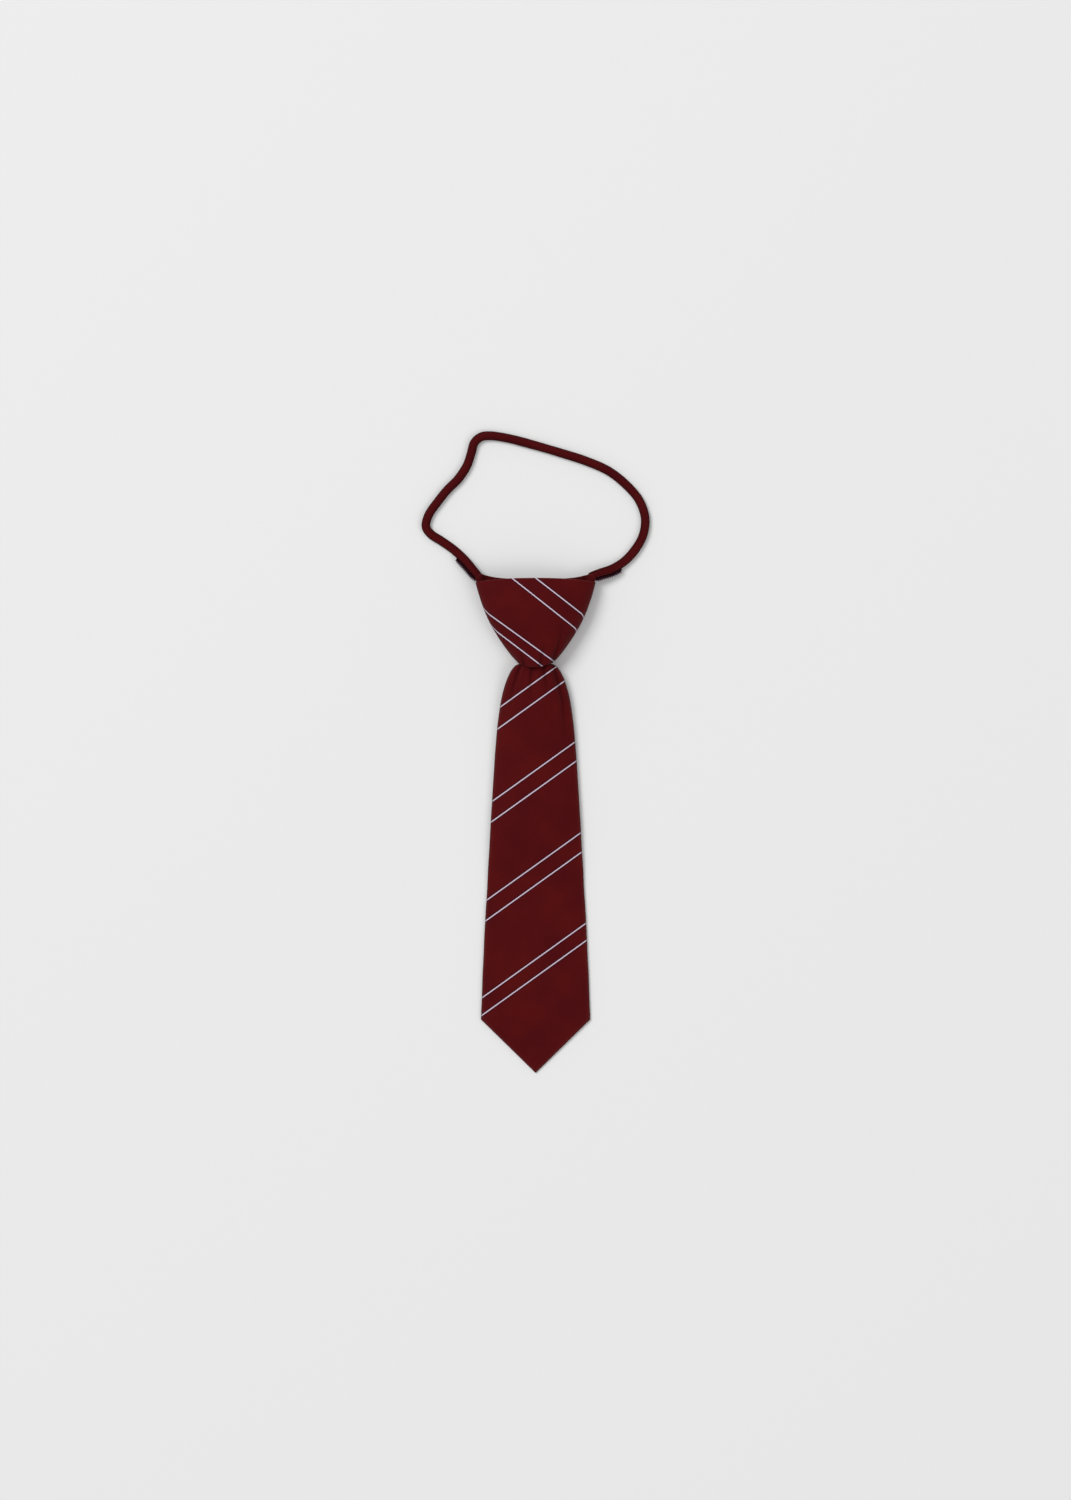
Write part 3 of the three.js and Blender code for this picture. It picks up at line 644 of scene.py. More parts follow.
ear_height = 5.6
lining_wall = 1.3
lining_inset = 2.1  # from the wrap's outside, so that it lies close inside its wall
lining_bottom_y = 72
ear_stand_out = 2.2  # how far the ears reach out past the knot's own section

# The neckline from the middle of the face to an ear's outer corner: its height, and how far its front and
# back stand open. Beyond the narrow place, the cloth goes round the strap's end.
neckline_rows = [
    {"share": 0, "top": 110, "open": 1},
    {"share": 0.3, "top": 110.2, "open": 1},
    {"share": 0.61, "top": 110.8, "open": 0.82},
    {"share": 0.78, "top": 111.9, "open": 0.3},
    {"share": 0.87, "top": 113, "open": 0},
    {"share": 0.915, "top": 113.6, "open": 0},
    {"share": 0.95, "top": 112.5, "open": 0},
    {"share": 1, "top": 109.7, "open": 0},
]
neckline_top = column(neckline_rows, "top", "share")
neckline_open = column(neckline_rows, "open", "share")
ear_narrow = 0.87  # where on the way out an ear is drawn together
ear_narrow_half, ear_half = 0.8, 2.9  # half its height there, and round the strap's end

# The tube goes up on its outside, over a rolled upper edge, and down again on its inside.
up = np.concatenate([np.linspace(0, 0.85, 12), np.linspace(0.85, 1, 16)[1:]])
half_wall = lining_wall / 2
stations = [(share, 0.0, 0.0) for share in up]
stations += [(1.0, half_wall * (1 - math.cos(a)), half_wall * math.sin(a)) for a in rim]
stations += [(share, lining_wall, 0.0) for share in up[::-1]]
stations += [stations[0]]
up, deeper, past = (np.array(part)[:, None] for part in zip(*stations))
share = np.abs(np.cos(turns)) ** np.where(np.sin(turns) >= 0, 2 / front_power, 2 / back_power)
y = lining_bottom_y * (1 - up) + neckline_top(share) * up + past
closed = smoothstep(y, 97, 110) * (1 - np.clip(neckline_open(share), 0, 1))
x, z = knot_point(turns, y, lining_inset + deeper * (1 - closed))
x = x + np.sign(x) * ear_stand_out * smoothstep(y, 108.2, 110.4) * smoothstep(share, 0.8, 1)

# In the ears its front and back are drawn together round the strap's end.
round_strap = (share - (1 + ear_narrow) / 2) / ((1 - ear_narrow) / 2)
half = ear_narrow_half + (ear_half - ear_narrow_half) * np.sqrt(np.maximum(1 - round_strap**2, 0))
half = np.where(share > ear_narrow, half, ear_narrow_half)
held = ear_height + np.sign(np.sin(turns)) * np.maximum(half - deeper, 0.1)
z = z * (1 - closed) + held * closed
pinch_shade = smoothstep(share, 0.8, 0.86) * (1 - smoothstep(share, 0.88, 0.91))
wrap_line = edge_y(wrap_top, turns) + 0.3
# Shade is painted where the ears are drawn tight, and in a line just above the wrap's top edge.
lining_sheet = {
    "points": np.stack([x, y, z], -1),
    "cloth": np.stack([cloth_across(x, z, turns), y], -1),
    "painted_shade": 0.5 * pinch_shade * smoothstep(y, 104, 110) + 0.8 * near(y - wrap_line, 0.8),
    "rubbed": np.clip(past / half_wall, 0, 1),
}
make_piece("knot_lining", [lining_sheet], plain_cloth, ["knot_inner"])

# The core closes the tube from inside, as a pad with a rounded and wrinkled top.
core_bottom_y, core_top_y, core_crown, core_inset = 74, 103, 3, 4.2
core_middle_height, core_width_share = 9, 0.94
core_wrinkle = 0.6
up = np.concatenate([[0], np.linspace(0, 1, 14), np.ones(12)])[:, None]
shrink = np.concatenate([[0], np.ones(14), np.cos(np.linspace(0, math.pi / 2, 13))[1:]])[:, None]
y = core_bottom_y + (core_top_y - core_bottom_y) * up + core_crown * (1 - shrink**2) * up
x, z = knot_point(turns, y, core_inset)
x, z = core_width_share * x * shrink, core_middle_height + (z - core_middle_height) * shrink
y = y + core_wrinkle * drift(x, 3 * z, 12, 8) * up
core_sheet = {"points": np.stack([x, y, z], -1), "cloth": np.stack([x, z + y], -1)}
knot_core = make_piece("knot_core", [core_sheet], plain_cloth)


# Neck strap
# A strip of the plain cloth is folded round the zip's tape into a soft band, and top-stitched along its
# outer edge. It lies in a loose loop on the table, with both ends held in the knot's ears.
strap_half_width, strap_half_height = 2.85, 1.85
strap_rest = 1.7  # its middle's height on the table
strap_seat = 1.8  # how far its ends go into the ears, where they are drawn together
strap_pinch = 0.94  # its size in the ears, as a share
landing = 26  # how far from the ears it reaches the table
soft_section = 0.75  # how round a soft section's corners are: 1 is an ellipse, 0 a rectangle
zip_from_ear, zip_length = 0.2, 19.8  # where the open zip stands in its outer edge

strap_route = [
    (-36, 112), (-40, 116.8), (-45.8, 123.6), (-53, 130.2), (-60.7, 135.6), (-67.5, 140.1),
    (-70.4, 144.7), (-68.6, 152.2), (-62.9, 160.5), (-56.9, 168), (-49.6, 175.4), (-44, 184),
    (-41.4, 191.6), (-39.2, 198.7), (-34.7, 202.4), (-28.9, 203), (-17.9, 201.4), (-2.7, 197.5),
    (15.2, 192.3), (32.1, 186.9), (46.8, 180.4), (57.7, 171.9), (66.2, 162), (70.1, 151.6),
    (70.1, 144), (67.9, 136.5), (62.5, 128.1), (56.8, 122.3), (49, 117.4), (41.1, 114.8), (35.8, 112.7),
]
left_out, right_out = np.array([-0.66, 0.75]), np.array([0.8, 0.6])  # its directions out of the ears


def smooth_route(points, steps=40):
    """A smooth curve through points, which doesn't overshoot where they lie unevenly."""
    points = np.vstack([2 * points[0] - points[1], points, 2 * points[-1] - points[-2]])
    t = np.arange(steps)[:, None] / steps
    curve = []
    for a, b, c, d in zip(points, points[1:], points[2:], points[3:]):
        ab, bc, cd = (math.sqrt(np.linalg.norm(q - p)) for p, q in ((a, b), (b, c), (c, d)))
        leave = ((b - a) / ab - (c - a) / (ab + bc) + (c - b) / bc) * bc
        arrive = ((c - b) / bc - (d - b) / (bc + cd) + (d - c) / cd) * bc
        square, cube = 3 * (c - b) - 2 * leave - arrive, 2 * (b - c) + leave + arrive
        curve.append(b + leave * t + square * t**2 + cube * t**3)
    return np.vstack(curve + [points[-2:-1]])


route = np.array(strap_route)
route = smooth_route(np.vstack([route[0] - strap_seat * left_out, route, route[-1] - strap_seat * right_out]))
route_along = distances_along(route)
strap_length = route_along[-1]


def on_route(along):
    """Points of the strap's middle line on the table, at places along it."""
    return np.stack([np.interp(along, route_along, route[:, axis]) for axis in (0, 1)], -1)


def nearer_end(places, start, end):
    """How far places are from the nearer of two ends."""
    return np.minimum(np.abs(places - start), np.abs(end - places))


def strap_stations(along, reach=0.4):
    """Middles of the strap at places along it, the directions to its left, and its size there."""
    way = on_route(np.minimum(along + reach, strap_length)) - on_route(np.maximum(along - reach, 0))
    way = way / np.linalg.norm(way, axis=1, keepdims=True)
    from_ear = nearer_end(along, 0, strap_length) - strap_seat
    z = ear_height + (strap_rest - ear_height) * smoothstep(from_ear, 0, landing)
    size = strap_pinch + (1 - strap_pinch) * smoothstep(from_ear, -1, 15)
    left = np.stack([-way[:, 1], way[:, 0], 0 * z], -1)
    return np.column_stack([on_route(along), z]), left, size


upwards = np.array([0, 0, 1.0])


def swept(centres, sides, half_width, half_height, power, corners=28):
    """A sheet round a soft flattened tube along a row of centres, and each point's place across and up.
    The sheet starts and ends underneath."""
    turn = np.linspace(-math.pi / 2, 1.5 * math.pi, corners + 1)[None, :]
    across = half_width[:, None] * signed_power(np.cos(turn), power)
    rise = half_height[:, None] * signed_power(np.sin(turn), power)
    sides = np.broadcast_to(sides, centres.shape)[:, None]
    points = centres[:, None] + sides * across[..., None] + upwards * rise[..., None]
    round_it = distances_along(points[len(points) // 2])
    round_it, along = np.broadcast_arrays(round_it - round_it[-1] / 2, distances_along(centres)[:, None])
    return {"points": points, "cloth": np.stack([round_it, along], -1)}, across, rise


def section_rise(share):
    """How high a soft section's surface is, at a share of its half width."""
    return (1 - share ** (2 / soft_section)) ** (soft_section / 2)


# Spun thread is a little glossier than the cloth, and its twisted plies show as fine slanting bands of
# painted light and shade.
sewing_thread, tree, surface = new_material(
    "polyester sewing thread",
    IOR=1.5,
    Specular_IOR_Level=0.25,
    Specular_Tint=linear("#E09090"),
    Roughness=0.5,
)
ply_pitch = 1.14  # real plies are about 0.4 mm apart, and are drawn coarser so that they show
waves_at_1 = 10 / (2 * math.pi)  # how many bands the wave node draws on each unit at scale 1
metres = add_node(tree, "UVMap", uv_map="cloth")
place = add_node(tree, "VectorMath", {0: metres, "Scale": 1000}, operation="SCALE")
inputs = {"Vector": place, "Scale": 1 / (waves_at_1 * ply_pitch), "Distortion": 0.4}
plies = add_node(tree, "TexWave", inputs, bands_direction="DIAGONAL")
inputs = {"Factor": plies.outputs["Fac"], "A": linear("#481012"), "B": linear("#621B1D")}
shaded = add_node(tree, "Mix", inputs, data_type="RGBA")
tree.links.new(shaded.outputs[2], surface.inputs["Base Color"])
thread_radius = 0.17
stitch_pitch, stitch_length = 2.5, 1.9
stitch_lift, stitch_dive = 0.12, 0.3  # its middle stands over the cloth, and its ends dive into it
groove_depth, groove_width = 0.1, 0.45  # of the line that a row of stitches draws in


def thread(path, ups, radius, corners=6):
    """A sheet round a thread along a path, where ups point away from what it lies on."""
    ways = np.gradient(path, axis=0)
    sides = np.cross(ways, ups)
    sides = sides / np.linalg.norm(sides, axis=1, keepdims=True)
    ups = np.cross(sides, ways)
    ups = ups / np.linalg.norm(ups, axis=1, keepdims=True)
    turn = np.linspace(0, 2 * math.pi, corners + 1)
    ring = sides[:, None] * np.cos(turn)[:, None] + ups[:, None] * np.sin(turn)[:, None]
    round_it, along = np.broadcast_arrays(turn * radius.max(), distances_along(path)[:, None])
    return {"points": path[:, None] + radius[:, None, None] * ring, "cloth": np.stack([round_it, along], -1)}


def stitch_row(name, middles, ways, up, length=stitch_length):
    """A row of sewn stitches, each a short thread that dips into the cloth at both ends."""
    t = np.linspace(-1, 1, 9)
    radius = thread_radius * rounded_end(1 - np.abs(t), 0.25)
    sheets = []
    for middle, way in zip(middles, ways):
        path = middle + np.outer(t * length / 2, way) + np.outer(stitch_lift - stitch_dive * t**4, up)
        sheets.append(thread(path, up, radius))
    return make_piece(name, sheets, sewing_thread)


def stitch_groove(off_line, from_first, pull):
    """The groove along a row of stitches. It is deepest between two of them, where the thread dives in."""
    between = 0.5 - 0.5 * np.cos(2 * math.pi * from_first / stitch_pitch)[:, None]
    return (groove_depth + pull * between) * near(off_line, groove_width)


end_steps = np.array([0, 0.05, 0.2, 0.5])
strap_step = 0.6
width_wander = 0.035  # how much its width strays, as a share
along = np.arange(0.9, strap_length - 0.8, strap_step)
along = np.concatenate([end_steps, along, strap_length - end_steps[::-1]])
centres, lefts, size = strap_stations(along)
size = size * rounded_end(nearer_end(along, 0, strap_length), strap_seat)
half_width = strap_half_width * size * (1 + width_wander * drift(along, 0 * along, 14, 9))
half_height = strap_half_height * size
strap_sheet, across, rise = swept(centres, lefts, half_width, half_height, soft_section, corners=36)

stitch_inset = 0.95  # from the strap's outer edge
first_stitch = strap_seat + 1.2
strap_fold = 0.45  # where the folded-over layer's edge lies, as a share of the half width
strap_fold_step = 0.22
over = rise > 0
off_line = across - half_width[:, None] + stitch_inset
groove = stitch_groove(off_line, along - first_stitch, 0.1) * over
fold_line = across + strap_fold * strap_half_width
fold_step = strap_fold_step * (smoothstep(fold_line, -0.25, 0.25) - 0.5) * over
sag = 0.1 * drift(along[:, None] + 0 * across, across, 7, 10) * over
z = strap_sheet["points"][..., 2] + (fold_step - groove + sag) * size[:, None]
strap_sheet["points"][..., 2] = np.maximum(z, 0)

# Shade is painted on its turned-under sides, beside the fold and the zip, and in the ears' mouths.
turned_under_shade = smoothstep(np.abs(across) / half_width[:, None], 0.5, 0.9)
from_ear = (nearer_end(along, 0, strap_length) - strap_seat)[:, None]
in_mouth = near(from_ear - 0.2, 0.9)
painted_zip_shadow = (from_ear > zip_from_ear) * (from_ear < zip_from_ear + zip_length - 0.8)
painted_zip_shadow = painted_zip_shadow * smoothstep(off_line, 0, 0.5)
fold_shade = (0.45 * near(fold_line, 0.3) + groove) * over
strap_sheet["painted_shade"] = fold_shade + 0.85 * turned_under_shade + 0.8 * in_mouth + 0.8 * painted_zip_shadow
make_piece("neck_strap", [strap_sheet], plain_cloth, ["neck_band"])

centres, lefts, size = strap_stations(np.arange(first_stitch, strap_length - strap_seat - 1, stitch_pitch))
beside = strap_half_width * size - stitch_inset
top = strap_half_height * size * section_rise(beside / (strap_half_width * size)) - stitch_lift
middles = centres + lefts * beside[:, None] + upwards * top[:, None]
stitch_row("strap_top_stitching", middles, np.cross(lefts, upwards), upwards)


# Open zip tapes
# The two tapes of a coil zip come apart above the slider. Each is a woven polyester ribbon, sewn into the
# strap's fold, and about two centimetres of it stand out beside each ear before the zip goes inside.
tape_half_height = 0.3
tape_above = -0.9  # it lies a little lower than the strap's middle
tape_tuck = 0.6  # how far it goes into the strap's fold
tape_shows = 1.6  # how far it stands out beside the strap
flat_section = 0.4  # how round a flat section's corners are
run_in_length, run_in_depth = 2.2, 1.9  # its far end goes back into the fold
ear_run_in = {"left": 0.7, "right": 1.4}  # and so does its end in the ear, a little
tape_thread_pitch = 0.8  # real threads are about 0.3 mm apart, and are drawn coarser so that they show

# The tape is a dense ribbon dyed nearly black, and reads as a dark plum band beside the burgundy.
tape_dye_and_rib_shade = ("#210C15", "#280F19", "#10060A")
zip_tape_cloth = woven_cloth("woven polyester zip tape", math.radians(62), tape_thread_pitch, tape_dye_and_rib_shade)

zip_start = strap_seat + zip_from_ear
zip_spans = {
    "left": (zip_start, zip_start + zip_length),
    "right": (strap_length - zip_start - zip_length, strap_length - zip_start),
}


def run_in(along, side):
    """How far the zip has gone into the strap's fold, at places along the strap."""
    to_far_end = zip_spans["left"][1] - along if side == "left" else along - zip_spans["right"][0]
    far = run_in_depth * (1 - smoothstep(to_far_end, 0, run_in_length))
    return far + ear_run_in[side] * (1 - smoothstep(zip_length - to_far_end, 0, 1.6 * run_in_length))


def make_tape(name, centres, sides, half_width, to_end, node):
    """A strip of zip tape along a row of centres, no lower than the table."""
    half_height = tape_half_height * rounded_end(to_end, tape_half_height)
    sheet = swept(centres, sides, half_width, half_height, flat_section)[0]
    sheet["points"][..., 2] = np.maximum(sheet["points"][..., 2], 0)
    make_piece(name, [sheet], zip_tape_cloth, [node])


for side, (start, end) in zip_spans.items():
    along = np.linspace(start, end, 60)
    centres, lefts, size = strap_stations(along)
    edge = strap_half_width * size - run_in(along, side)
    low, high = edge - tape_tuck, edge + tape_shows
    centres = centres + lefts * ((low + high) / 2)[:, None] + [0, 0, tape_above]
    to_end = nearer_end(along, start, end)
    make_tape(f"zip_tape_cloth_{side}", centres, lefts, (high - low) / 2, to_end, f"zip_tape_{side}")


# Open zip teeth
# The teeth are one nylon thread, wound into a flat coil along the tape's edge and sewn down to it. Each
# turn bulges at its outer end, where it hooks between two turns of the other side.
coil_half_width, coil_half_height = 1.0, 0.8
coil_from_strap = 1.3  # from the strap's edge to the coil's middle
coil_above = tape_above + tape_half_height + coil_half_height
coil_start = 0.2  # from the tape's end in the ear
coil_length = zip_length - 1.1
coil_pitch = 1.3
turn_straightness = 0.8  # how straight a turn's outer end stands across: at 0 the turns slant evenly
tooth_bulge, tooth_sharpness = 0.22, 6  # how much thicker that end is, and over how short a length
coil_section, filament_radius = 0.7, 0.31
sewing_radius = 0.15
sewing_lift, sewing_wave = 0.06, 0.09  # its middle's height over the coil, and how it follows the turns
sewing_apart = 0.2  # each of the two threads from their middle

# Moulded nylon is smooth and half glossy, so that each turn of the coil catches a small highlight.
nylon, tree, surface = new_material(
    "moulded nylon thread", IOR=1.53, Specular_IOR_Level=0.45, Roughness=0.38, Coat_Weight=0.1
)
scratch_size = 0.05  # real ones are about 0.01 mm, and are drawn coarser so that they show from near
metres = add_node(tree, "UVMap", uv_map="cloth")
scratches = add_node(tree, "TexNoise", {"Vector": metres, "Scale": 1000 / scratch_size, "Detail": 3})
inputs = {"Factor": scratches, "A": linear("#3A152A"), "B": linear("#52233E")}
tone = add_node(tree, "Mix", inputs, data_type="RGBA")
tree.links.new(tone.outputs[2], surface.inputs["Base Color"])


def wound(middle_at, coil_turns, half_width, way, phase=0.0, steps=24):
    """A thread wound into a flat coil. middle_at gives its middle and left side at distances along it."""
    t = np.linspace(phase, phase + 2 * math.pi * coil_turns, int(coil_turns * steps))
    centres, lefts = middle_at(coil_pitch * (t - phase - turn_straightness * np.sin(t)) / (2 * math.pi))
    outwards = lefts * way
    out, rise = np.cos(t)[:, None], np.sin(t)[:, None]
    path = centres + outwards * out * (half_width - filament_radius)
    path = path + upwards * signed_power(rise, coil_section) * (coil_half_height - filament_radius)
    steps_to_end = nearer_end(np.arange(len(t)), 0, len(t) - 1)
    bulge = 1 + tooth_bulge * np.clip(np.cos(t), 0, 1) ** tooth_sharpness
    radius = filament_radius * bulge * rounded_end(steps_to_end, 3)
    return thread(path, outwards * out + upwards * rise, radius, corners=8)


def sewn_down(middle_at, length, beside):
    """Two threads that run along a coil, over each of its turns, and hold it on the tape."""
    along = np.arange(0.1, length, 0.16)
    centres, lefts = middle_at(along)
    top = coil_half_height + sewing_lift + sewing_wave * np.cos(2 * math.pi * along / coil_pitch)
    radius = sewing_radius * rounded_end(nearer_end(along, along[0], along[-1]), 2 * sewing_radius)
    middles = centres + lefts * beside + upwards * top[:, None]
    return [thread(middles + lefts * way * sewing_apart, upwards, radius) for way in (-1, 1)]


for side, (start, end) in zip_spans.items():
    first = start + coil_start if side == "left" else end - coil_start - coil_length

    def open_coil_middle(distance, side=side, first=first):
        along = first + np.clip(distance, 0, coil_length)
        centres, lefts, size = strap_stations(along)
        beside = strap_half_width * size + coil_from_strap - run_in(along, side)
        return centres + lefts * beside[:, None] + [0, 0, coil_above], lefts

    teeth = [wound(open_coil_middle, coil_length / coil_pitch, coil_half_width, 1)]
    make_piece(f"zip_teeth_{side}", teeth, nylon, [f"zip_coil_{side}"])
    threads = sewn_down(open_coil_middle, coil_length, beside=-0.35)
    make_piece(f"zip_teeth_sewing_{side}", threads, zip_tape_cloth)


# Closed zip behind the blade
# Below the slider the two rows of teeth are locked together. The closed zip hangs behind the blade, so
# that the slider has somewhere to run when the neck loop is opened. Its outer edges are bound in the cloth.
tail_top_y, tail_bottom_y = 61, -32
tail_rest, tail_mouth_height = 1.4, 4.2
chain_top_y = 53.5
chain_end = 0.3  # from each end of the tapes to the coils' own
chain_length = chain_top_y - tail_bottom_y - 2 * chain_end
chain_half_width = 2.0
chain_offset = 0.72  # of each coil from the middle
binding_middle, binding_half_width, binding_half_height = 5.85, 2.35, 1.45
tail_tape_middle, tail_tape_half_width, tail_tape_above = 1.75, 1.45, -0.6
tail_tape_tuck = 0.7  # how far it goes into the binding
binding_width_wander = 0.03  # how much its width strays, as a share


def tail_middle(y):
    """Points of the closed zip's middle line, which rises from the table to the knot's mouth."""
    z = tail_rest + (tail_mouth_height - tail_rest) * smoothstep(y, 22, 56)
    return np.stack([0 * y, y, z], -1)


sideways = np.array([1.0, 0, 0])
teeth, threads = [], []
for way, phase in ((1, 0.0), (-1, math.pi)):

    def chain_half_middle(distance, way=way):
        above = tail_tape_above + tape_half_height + coil_half_height
        centres = tail_middle(tail_bottom_y + chain_end + distance) + [way * chain_offset, 0, above]
        return centres, sideways

    half_width = chain_half_width - chain_offset
    teeth.append(wound(chain_half_middle, chain_length / coil_pitch, half_width, -way, phase, steps=16))
    threads += sewn_down(chain_half_middle, chain_length, beside=way * 0.4)
make_piece("closed_zip_teeth", teeth, nylon, ["tail_coil"])
make_piece("closed_zip_teeth_sewing", threads, zip_tape_cloth)

binding_end_steps = np.array([0, 0.1, 0.3, 0.7])
binding_end_round, binding_step = 1.2, 0.8
first_stitch_y = tail_top_y - 2.2
for side, way in (("left", -1), ("right", 1)):
    y = np.linspace(chain_top_y, tail_bottom_y, 90)
    centres = tail_middle(y) + [way * (tail_tape_middle + tail_tape_tuck / 2), 0, tail_tape_above]
    half_width = (tail_tape_half_width + tail_tape_tuck / 2) + 0 * y
    to_end = nearer_end(y, y[0], y[-1])
    make_tape(f"closed_zip_tape_{side}", centres, sideways, half_width, to_end, f"tail_tape_{side}")

    y = np.arange(tail_top_y - binding_end_round, tail_bottom_y + 1, -binding_step)
    y = np.concatenate([tail_top_y - binding_end_steps, y, tail_bottom_y + binding_end_steps[::-1]])
    ends = rounded_end(nearer_end(y, tail_top_y, tail_bottom_y), binding_end_round)
    half_width = binding_half_width * (1 + binding_width_wander * drift(y, 0 * y, 11, 11 + way)) * ends
    half_height = binding_half_height * ends
    centres = tail_middle(y) + [way * binding_middle, 0, 0]
    sheet, across, rise = swept(centres, sideways, half_width, half_height, soft_section)
    off_line = way * across + binding_half_width - stitch_inset
    groove = stitch_groove(off_line, first_stitch_y - y, 0.16)
    sheet["points"][..., 2] = np.maximum(sheet["points"][..., 2] - np.sign(rise) * groove, 0)
    # The stitch groove is painted darker too, as shade in it.
    sheet["painted_shade"] = groove
    make_piece(f"closed_zip_binding_{side}", [sheet], plain_cloth, [f"tail_band_{side}"])

    stitch_y = np.arange(first_stitch_y, tail_bottom_y + 1.5, -stitch_pitch)
    stitch_x = way * (binding_middle - binding_half_width + stitch_inset)
    height = binding_half_height * section_rise(1 - stitch_inset / binding_half_width) - stitch_lift
    for face in (1, -1):
        middles = tail_middle(stitch_y) + [stitch_x, 0, face * height]
        name = f"closed_zip_stitching_{side}_{'front' if face > 0 else 'back'}"
        stitch_row(name, middles, [(0, 1, 0)] * len(middles), face * upwards)


# Zip slider
# The slider is a small die-cast zinc body with a dark enamel: two shield-shaped plates joined by a wedge
# that parts the teeth, with a flange down each side that guides them.
def moulded(outline, levels):
    """A sheet over a solid with one outline. Each level is a height, and how far the outline draws in."""
    centre = outline.mean(axis=0)
    spoke = outline - centre
    reach = np.linalg.norm(spoke, axis=1, keepdims=True)
    rings = [(height, centre + spoke * (1 - inwards / reach)) for height, inwards in levels]
    rings = [(levels[0][0], centre + 0 * spoke), *rings, (levels[-1][0], centre + 0 * spoke)]
    points = np.array([np.column_stack([ring, np.full(len(ring), height)]) for height, ring in rings])
    return {"points": points, "cloth": points[..., :2]}


def rounded_outline(corners, radius, steps=6):
    """A closed outline through corners, each of them rounded off."""
    corners = np.array(corners, float)
    t = np.linspace(0, 1, steps)[:, None]
    outline = []
    for before, turning, after in zip(np.roll(corners, 1, 0), corners, np.roll(corners, -1, 0)):
        a = turning + (before - turning) / np.linalg.norm(before - turning) * radius
        b = turning + (after - turning) / np.linalg.norm(after - turning) * radius
        outline.append((1 - t) ** 2 * a + 2 * t * (1 - t) * turning + t * t * b)
    outline = np.vstack(outline)
    return np.vstack([outline, outline[:1]])


def bevelled(low, high, bevel):
    """Levels for moulded, from a low to a high face, with both edges rounded."""
    turn = np.linspace(0, math.pi / 2, 5)
    rises, inwards = bevel * (1 - np.cos(turn)), bevel * (1 - np.sin(turn))
    return [*zip(low + rises, inwards), *zip(high - rises[::-1], inwards[::-1])]


# Baked enamel has a hard gloss over slightly uneven dark plum, where the casting's skin shows through.
enamel, tree, surface = new_material(
    "enamelled die-cast zinc", IOR=1.5, Roughness=0.3, Specular_IOR_Level=0.5, Coat_Weight=0.3
)
skin_grain = 0.05  # the casting's own is about 0.02 mm, and is drawn coarser so that it shows from near
metres = add_node(tree, "UVMap", uv_map="cloth")
worn = add_node(tree, "TexNoise", {"Vector": metres, "Scale": 1000 / skin_grain, "Detail": 4})
inputs = {"Factor": worn, "A": linear("#2A0B12"), "B": linear("#3B1820")}
tone = add_node(tree, "Mix", inputs, data_type="RGBA")
tree.links.new(tone.outputs[2], surface.inputs["Base Color"])

slider_low, slider_high = 2.35, 6.1
plate_thickness, plate_bevel = 0.75, 0.25
wedge_in_plate = 0.35
flange_height, flange_in_plate, flange_bevel = 0.75, 0.2, 0.12

right_half = [(2.55, 49.5), (3.1, 54.5), (2.9, 57.6), (1.3, 58)]
left_half = [(-x, y) for x, y in reversed(right_half)]
notch = (0, 57.2)
shield = rounded_outline([left_half[-1], *right_half, notch, *left_half[:-1]], 0.5)
wedge = rounded_outline([(0, 53.8), (1.05, 56.2), (0, 57.1), (-1.05, 56.2)], 0.4)
low_inside, high_inside = slider_low + plate_thickness, slider_high - plate_thickness
slider_sheets = [
    moulded(shield, bevelled(slider_low, low_inside, plate_bevel)),
    moulded(shield, bevelled(high_inside, slider_high, plate_bevel)),
    moulded(wedge, [(low_inside - wedge_in_plate, 0), (high_inside + wedge_in_plate, 0)]),
]
for way in (-1, 1):
    flange = rounded_outline([(way * 2.5, 50), (way * 2.05, 50), (way * 2.5, 55.5), (way * 3.0, 55)], 0.2)
    for low in (low_inside - flange_in_plate, high_inside + flange_in_plate - flange_height):
        slider_sheets.append(moulded(flange, bevelled(low, low + flange_height, flange_bevel)))
make_piece("zip_slider_body", slider_sheets, enamel, ["zip_slider"])


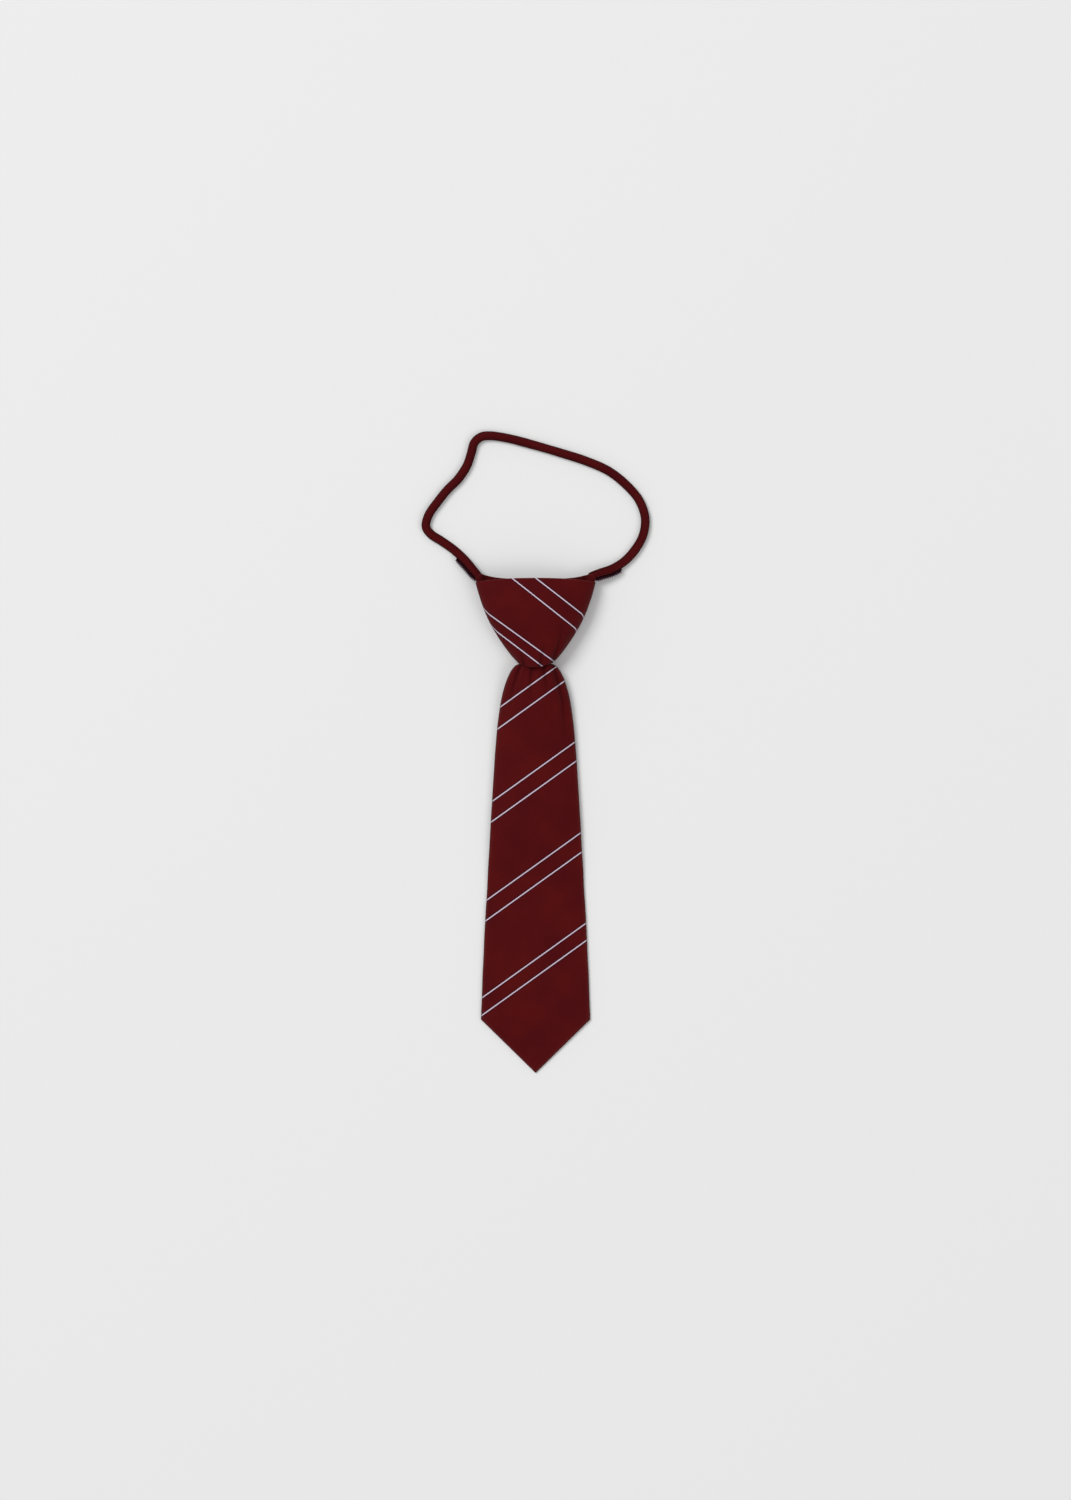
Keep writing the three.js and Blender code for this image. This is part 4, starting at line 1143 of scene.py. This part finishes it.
# Zip end tab
# A short strip of the plain cloth is folded up over the lower end of the zip and sewn through in a
# rectangle, so that the slider can't run off.
tab_half_width, tab_top_y, tab_bottom_y, tab_thickness = 8.5, -32.3, -44.3, 3.1
tab_edge_round = 1.45
tab_stitch_inset, tab_stitch_pitch, tab_stitch_length = 1.9, 2.2, 1.7
tab_stitch_height = 1.27  # over the tab's middle
tab_groove = 0.24
back_layer_shift = 30  # its back is another place of the same cloth

tab_middle_y, tab_half_length = (tab_top_y + tab_bottom_y) / 2, (tab_top_y - tab_bottom_y) / 2
x = tab_half_width * close_at_ends(61)[None, :]
y = tab_middle_y + tab_half_length * close_at_ends(49)[:, None]
x, y = np.broadcast_arrays(x, y)
to_side, to_end = tab_half_width - np.abs(x), tab_half_length - np.abs(y - tab_middle_y)
away = edge_gap(to_side, to_end)
thick = tab_thickness / 2 * rounded_end(away, tab_edge_round)
off_line = np.minimum(to_side, to_end) - tab_stitch_inset
# The stitch groove is pressed in, and painted darker as shade in it too.
dip = tab_groove * near(off_line, groove_width) * (away > 0.8)
lump = 0.1 * drift(x, y, 4, 14) * smoothstep(away, 0.5, 2)
tab_sheets = [
    {
        "points": np.stack([x, y, np.clip(z, 0, tab_thickness)], -1),
        "cloth": np.stack([x, y + shift], -1),
        "rubbed": near(away, 0.8),
        "painted_shade": dip,
    }
    for z, shift in (
        (tab_thickness / 2 + thick - dip + lump, 0),
        (tab_thickness / 2 - thick + dip, back_layer_shift),
    )
]
tab = make_piece("zip_end_tab", tab_sheets, plain_cloth, ["tail_end"])

line_x, line_y = tab_half_width - tab_stitch_inset, tab_half_length - tab_stitch_inset
middles, ways = [], []
for way in (-1, 1):
    for stitch_x in np.arange(tab_stitch_pitch / 2 - line_x, line_x, tab_stitch_pitch):
        middles.append((stitch_x, tab_middle_y + way * line_y, tab_thickness / 2))
        ways.append((1, 0, 0))
    for stitch_y in np.arange(tab_stitch_pitch / 2 - line_y, line_y, tab_stitch_pitch):
        middles.append((way * line_x, tab_middle_y + stitch_y, tab_thickness / 2))
        ways.append((0, 1, 0))
for face, name in ((1, "zip_end_stitching_front"), (-1, "zip_end_stitching_back")):
    face_middles = np.array(middles) + face * tab_stitch_height * upwards
    stitch_row(name, face_middles, ways, face * upwards, tab_stitch_length)

low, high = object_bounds()
